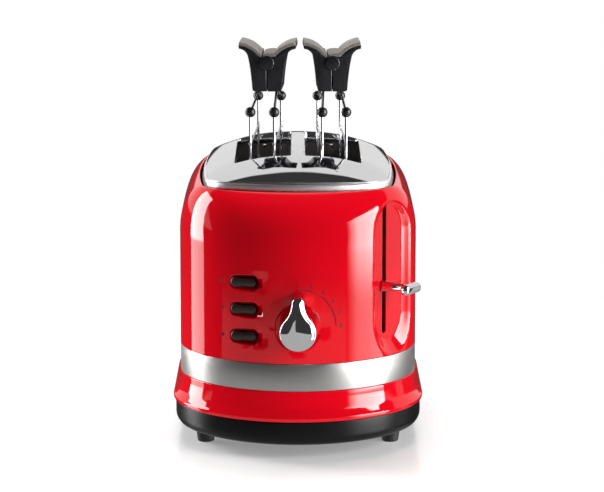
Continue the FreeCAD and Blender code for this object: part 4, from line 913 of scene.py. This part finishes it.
def gripOutlines(side):
    # The grip runs from its foot up the outer flank to the wing's tip and back along the pad to the pivot.
    top = 24.6
    topIn = -3.2 if side > 0 else 4.2
    heel, flank, elbow, tip = (8.7, 0), (10.85, 2.1), (14.8, 25.6), (21.9, 33.2)
    wingTop = arcThrough(tip, (13.2, 30.7), (6.4, 25.2), 10) + [(topIn, top)]
    grip = [(0.3, 0), heel] + arcThrough(heel, (10.2, 0.55), flank, 6)
    grip += arcThrough(flank, (12.2, 12.5), elbow, 10) + arcThrough(elbow, (17.2, 29.2), (21.7, 30.9), 8)
    grip += [tip] + wingTop
    grip += [(topIn, 23.4), (0.7, 23.4), (0.7, tong["pivot"])] if side > 0 else [(topIn, tong["pivot"])]
    grip.append((0.3, tong["pivot"]))
    padIn, padBend = (topIn, top + tong["pad"]), (5.6, 25.4 + tong["pad"])
    pad = [tip] + wingTop + [padIn]
    pad += arcThrough(padIn, ((topIn + padBend[0]) / 2, 25.6 + tong["pad"]), padBend, 4)
    pad += arcThrough(padBend, (12.6, 30.9 + tong["pad"]), (21.3, 33.4 + tong["pad"]), 10)
    return [[(side * x * (1 - tong["waist"] * min(1, z / tong["waistHeight"])), z) for x, z in outline]
            for outline in (grip, pad)]


def roundedPrism(outline, width):
    form = bmesh.new()
    addPrism(form, outline, tong["depth"] / 2, -tong["depth"] / 2)
    sortOut(form)
    ends = [edge for edge in form.edges if abs(edge.verts[0].co.y - edge.verts[1].co.y) < 1e-7]
    roundEdges(form, ends, width, 4, clamp_overlap=True)
    return form


def roundBar(radius, start, end, segments=40):
    form = bmesh.new()
    addPrism(form, sweepArc((0, tong["pivot"]), radius, 0, 2 * math.pi, segments)[:-1], end, start)
    sortOut(form)
    return form


def addWire(form, points, radius):
    curve = bpy.data.curves.new("wire", "CURVE")
    curve.dimensions = "3D"
    curve.bevel_depth = radius * mm
    curve.bevel_resolution = 3
    curve.use_fill_caps = True
    line = curve.splines.new("POLY")
    line.points.add(len(points) - 1)
    for knot, point in zip(line.points, points):
        knot.co = (*(Vector(point) * mm), 1)
    addCurve(form, curve)


def addHandle(hand, half, side, stand):
    # Grip and pad of one half, with its own knuckles and room for the other half's.
    halfDepth, third, gap = tong["depth"] / 2, tong["depth"] / 6, tong["gap"]
    if side > 0:
        own, other = [(-third, third)], [(-halfDepth - 1, -third), (third, halfDepth + 1)]
    else:
        own, other = [(-halfDepth, -third - gap), (third + gap, halfDepth)], [(-third - gap, third + gap)]
    gripLine, padLine = gripOutlines(side)
    grip = toObject(f"{hand}{half.title()}Grip", roundedPrism(gripLine, tong["gripEdge"]), "phenolicMoulding")
    pad = toObject(f"{hand}{half.title()}Pad", roundedPrism(padLine, tong["padEdge"]), "siliconePad")
    for start, end in other:
        for piece in (grip, pad):
            cutFrom(piece, roundBar(tong["knuckle"] + gap, start, end))
    for start, end in own:
        cutFrom(grip, roundBar(tong["knuckle"], start, end), "UNION")
        cutFrom(pad, roundBar(tong["knuckle"], start - 0.01, end + 0.01))
    cutFrom(grip, roundBar(tong["pinRadius"] + tong["pinClear"], -30, 30, 24))
    for piece, name, slot in ((grip, "grip", "grip_plastic"), (pad, "pad", "pad_grey")):
        piece.data.transform(stand)
        fit(settle(piece), f"{hand}_tong_{half}_half", slot, f"tong_{hand}_{half}_{name}")


def addJaw(hand, half, side, stand, shift):
    # A wire loop with cross bars welded in, and a bead on each of its two shoulders.
    across, length, shoulder = side * jaw["spacing"] / 2 + shift, jaw["halfLength"], -jaw["shoulder"]
    inside, bottom = side * jaw["inside"], jaw["bottom"] - tong["bottom"]
    path = [(inside, y, z) for y, z in jaw["neck"]] + [(across, -length, shoulder), (across, -length, bottom)]
    path += [(x, -y, z) for x, y, z in reversed(path)]
    form = bmesh.new()
    addWire(form, roundOff(path, jaw["bend"], 8, closed=False), jaw["wire"])
    level = shoulder - jaw["barDrop"]
    while level > bottom + jaw["barMargin"]:
        addWire(form, [(across, -length, level), (across, length, level)], jaw["wire"] * jaw["barShare"])
        for end in (-1, 1):
            bmesh.ops.create_uvsphere(form, u_segments=14, v_segments=8, radius=jaw["weld"] * mm,
                                      matrix=Matrix.Translation(Vector((across, end * length, level)) * mm))
        level -= jaw["barPitch"]
    form.transform(stand)
    bmesh.ops.recalc_face_normals(form, faces=form.faces)
    riding, nodes = f"{hand}_tong_{half}_half", f"tong_{hand}_{half}_"
    fitForm(f"{hand}{half.title()}Jaw", form, "platedWire", riding, "chrome_plate", nodes + "jaw")
    form = bmesh.new()
    profile = jaw["hole"] + sweepArc((0, 0), jaw["bead"], -jaw["beadTurn"], jaw["beadTurn"], 18)
    profile += [(x, -z) for x, z in reversed(jaw["hole"])]
    for end in (-1, 1):
        points = [(across + out, end * length, shoulder + z) for out, z in profile]
        spinLine(form, points, (across, end * length, shoulder), (0, 0, 1), 36, closed=True)
    sortOut(form)
    form.transform(stand)
    fitForm(f"{hand}{half.title()}Beads", form, "tumbledNylon", riding, "ball_black", nodes + "balls")


def addPin(hand, stand):
    # The pin and its two caps are turned about one axis.
    reach, cap = tong["depth"] / 2 + tong["gap"], tong["capRadius"]
    end = reach + tong["capWall"]
    profile = [(0, -end), (cap, -end), (cap, -reach), (tong["pinRadius"], -reach)]
    profile += [(x, -y) for x, y in reversed(profile)]
    profile = roundOff(profile, [0, 0.9, 0.2, 0, 0, 0.2, 0.9, 0], 4, closed=False)
    form = bmesh.new()
    spinLine(form, [(x, y, tong["pivot"]) for x, y in profile], (0, 0, tong["pivot"]), (0, 1, 0), 40)
    sortOut(form)
    form.transform(stand)
    fitForm(f"{hand}Pin", form, "phenolicMoulding", f"{hand}_tong_pin", "grip_plastic", f"tong_{hand}_pin")


for hand, inward, x, turn, shift in (("left", 1, -21.6, -2.5, -1.7), ("right", -1, 24.5, 1.6, 0.0)):
    stand = Matrix.Translation((x * mm, 0, tong["bottom"] * mm)) @ Matrix.Rotation(math.radians(turn), 4, "Z")
    for half, side in (("inner", inward), ("outer", -inward)):
        addHandle(hand, half, side, stand)
        addJaw(hand, half, side, stand, shift)
    addPin(hand, stand)
print("tongs made")

# Finishes of the CAD's own inner pieces.
keptFinishes = {
    "zincPlatedSheet": ["guide_rod", "return_spring", "bread_carrier_left", "bread_carrier_right",
                        "carriage_bracket", "latch_keeper", "lever_arm", "knob_shaft",
                        "browning_potentiometer", "base_screws", "guard_left_outer", "guard_left_inner",
                        "guard_right_inner", "guard_right_outer"],
    "aluminisedSheet": ["heat_shield_left", "heat_shield_right"],
    "blackenedSheet": ["front_end_plate", "rear_end_plate"],
    "micaSheet": ["heater_left", "heater_centre", "heater_right"],
    "glassLaminate": ["control_board", "switch_board"],
    "copperWinding": ["latch_magnet"],
    "mouldedPolypropylene": ["button_switches", "terminal_block"],
    "vulcanisedRubber": ["cord_gland"]}
for finish, names in keptFinishes.items():
    for name in names:
        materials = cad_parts[name].data.materials
        materials.clear()
        materials.append(finishes[finish])

# Floor, light and camera.
studio = {"floorX": 0.27, "floorFront": -0.30, "floorBack": 0.9, "floorColour": "#F6F6F6", "floorGloss": 0.2,
          "floorGlow": 0.25}
floorFinish = bpy.data.materials.new("whiteAcrylicSheet")
floorFinish.use_nodes = True
shader = floorFinish.node_tree.nodes["Principled BSDF"]
for socket, value in (("Base Color", toLinear(studio["floorColour"])), ("Roughness", studio["floorGloss"]),
                      ("Emission Color", (1, 1, 1, 1)), ("Emission Strength", studio["floorGlow"])):
    shader.inputs[socket].default_value = value
finishes["whiteAcrylicSheet"] = floorFinish
floorDepth = studio["floorBack"] - studio["floorFront"]
form = gridForm(1, 1, lambda u, v: ((2 * u - 1) * studio["floorX"], studio["floorFront"] + v * floorDepth, 0))
floor = toObject("floor", form, "whiteAcrylicSheet")
floor.visible_glossy = False


def aimedPlace(azimuth, distance, height):
    # A place round the toaster in metres: 0 degrees is in front and 90 at the right.
    turn = math.radians(azimuth)
    return Vector((distance * math.sin(turn), -distance * math.cos(turn), height))


def addPanel(name, azimuth, distance, width, low, high, glow, sideFade, step, softEdge):
    # An upright glowing panel that only reflections see. sideFade gives its brightness at the left and right
    # edge, its front edge is soft over softEdge, and below the levels in step it drops to a share.
    middle = (low + high) / 2
    material = bpy.data.materials.new(name)
    material.use_nodes = True
    tree = material.node_tree
    tree.nodes.remove(tree.nodes["Principled BSDF"])
    split = addNode(tree, "SeparateXYZ", {"Vector": addNode(tree, "TexCoord").outputs["Object"]})
    across = addNode(tree, "MapRange", {"Value": split.outputs["X"], "From Min": -width / 2,
                                        "From Max": width / 2, "To Min": sideFade[0] * glow,
                                        "To Max": sideFade[1] * glow})
    up = addNode(tree, "MapRange", {"Value": split.outputs["Z"], "From Min": step[0] - middle,
                                    "From Max": step[1] - middle, "To Min": step[2], "To Max": 1.0},
                 interpolation_type="SMOOTHSTEP")
    nearFront = width / 2 if azimuth < 0 else -width / 2
    edge = addNode(tree, "MapRange", {"Value": split.outputs["X"], "From Min": nearFront,
                                      "From Max": nearFront * (1 - 2 * softEdge / width)})
    both = addNode(tree, "Math", {0: across.outputs[0], 1: up.outputs[0]}, operation="MULTIPLY")
    strength = addNode(tree, "Math", {0: both.outputs[0], 1: edge.outputs[0]}, operation="MULTIPLY")
    light = addNode(tree, "Emission", {"Strength": strength.outputs[0]})
    tree.links.new(light.outputs[0], tree.nodes["Material Output"].inputs["Surface"])
    finishes[name] = material
    form = gridForm(1, 1, lambda u, v: ((u - 0.5) * width, 0, (v - 0.5) * (high - low)))
    panel = toObject(name, form, name)
    panel.location = aimedPlace(azimuth, distance, middle)
    panel.rotation_euler.z = math.radians(azimuth)
    panel.visible_camera = panel.visible_diffuse = panel.visible_shadow = False


addPanel("leftPanel", -111, 1.25, 0.52, -0.6, 0.95, 9.5, (1.0, 1.0), (-0.06, -0.03, 0.36), 0.02)
addPanel("rightPanel", 66, 1.25, 0.95, -0.6, 0.95, 12.5, (0.7, 1.4), (-0.12, -0.03, 0.24), 0.25)
addPanel("tablePanel", 110, 1.25, 0.3, -0.4, 0.05, 0.55, (1.0, 1.0), (-0.6, -0.5, 1.0), 0.05)

# Reflections see a bright wall behind up to a height, a dark room overhead and in front, a pale table below.
room = {"wallTop": 57.0, "wallFoot": 0.02, "tableFront": -0.19, "tableBack": -0.45, "backLimit": 0.2,
        "dark": (0.042, 0.039, 0.04, 1), "wall": (0.8, 0.79, 0.78, 1), "table": (0.48, 0.48, 0.47, 1),
        "fill": (0.15, 0.15, 0.15, 1), "topBlur": 1.5, "footBlur": 0.01, "tableBlur": 0.006}
world = bpy.data.worlds.new("studio")
scene.world = world
world.use_nodes = True
tree = world.node_tree
tree.nodes.clear()


def addSwitch(value, start, end):
    return addNode(tree, "MapRange", {"Value": value, "From Min": start, "From Max": end}).outputs[0]


def addMix(share, first, second):
    mix = addNode(tree, "Mix", {"Factor": share, "A": first, "B": second}, data_type="RGBA")
    return mix.outputs["Result"]


path = addNode(tree, "LightPath")
way = addNode(tree, "SeparateXYZ", {"Vector": addNode(tree, "TexCoord").outputs["Generated"]})
turn = addNode(tree, "Math", {0: way.outputs["Z"], 1: way.outputs["Y"]}, operation="ARCTAN2")
lapTurn = addNode(tree, "Math", {0: turn.outputs[0], 1: math.radians(270), 2: math.radians(-90)},
                  operation="WRAP")
overWall = addSwitch(lapTurn.outputs[0], math.radians(room["wallTop"] - room["topBlur"]),
                     math.radians(room["wallTop"] + room["topBlur"]))
underWall = addSwitch(way.outputs["Z"], room["wallFoot"] + room["footBlur"],
                      room["wallFoot"] - room["footBlur"])
offWall = addNode(tree, "Math", {0: overWall, 1: underWall}, operation="MAXIMUM")
tableEdge = addNode(tree, "MapRange", {"Value": way.outputs["Y"], "From Min": -room["backLimit"],
                                       "From Max": room["backLimit"], "To Min": room["tableFront"],
                                       "To Max": room["tableBack"]})
underEdge = addNode(tree, "Math", {0: tableEdge.outputs[0], 1: way.outputs["Z"]}, operation="SUBTRACT")
onTable = addSwitch(underEdge.outputs[0], -room["tableBlur"], room["tableBlur"])
mirrored = addMix(onTable, addMix(offWall.outputs[0], room["wall"], room["dark"]), room["table"])
lit = addMix(path.outputs["Is Glossy Ray"], room["fill"], mirrored)
seen = addMix(path.outputs["Is Camera Ray"], lit, (1, 1, 1, 1))
sky = addNode(tree, "Background", {"Color": seen, "Strength": 1.0})
addNode(tree, "OutputWorld", {"Surface": sky.outputs[0]})


def addLamp(name, azimuth, distance, height, size, watts):
    # A soft area light that only shades: the glowing panels stand for it in reflections.
    lamp = bpy.data.lights.new(name, "AREA")
    lamp.shape, lamp.size, lamp.size_y, lamp.energy = "RECTANGLE", size[0], size[1], watts
    holder = bpy.data.objects.new(name, lamp)
    scene.collection.objects.link(holder)
    holder.location = aimedPlace(azimuth, distance, height)
    holder.rotation_euler = (Vector((0, 0, 0.1)) - holder.location).to_track_quat("-Z", "Y").to_euler()
    holder.visible_glossy = False


addLamp("topLamp", 180, 0.3, 1.5, (0.9, 0.7), 14)
addLamp("leftLamp", -113, 1.25, 0.45, (0.5, 0.8), 20)
addLamp("rightLamp", 55, 1.25, 0.45, (0.5, 0.8), 14.2)

# The focal length is given in pixels of a picture 604 wide.
view = {"place": (0.0, -2.1171, 0.495), "pitch": -9.78, "pan": -0.08, "focal": 2930.0, "imageWidth": 604,
        "sensor": 36.0}
lens = bpy.data.cameras.new("camera")
lens.sensor_width = view["sensor"]
lens.lens = view["focal"] * view["sensor"] / view["imageWidth"]
camera = bpy.data.objects.new("camera", lens)
scene.collection.objects.link(camera)
camera.location = view["place"]
camera.rotation_euler = (math.radians(90 + view["pitch"]), 0, math.radians(view["pan"]))
scene.camera = camera
print("studio made")
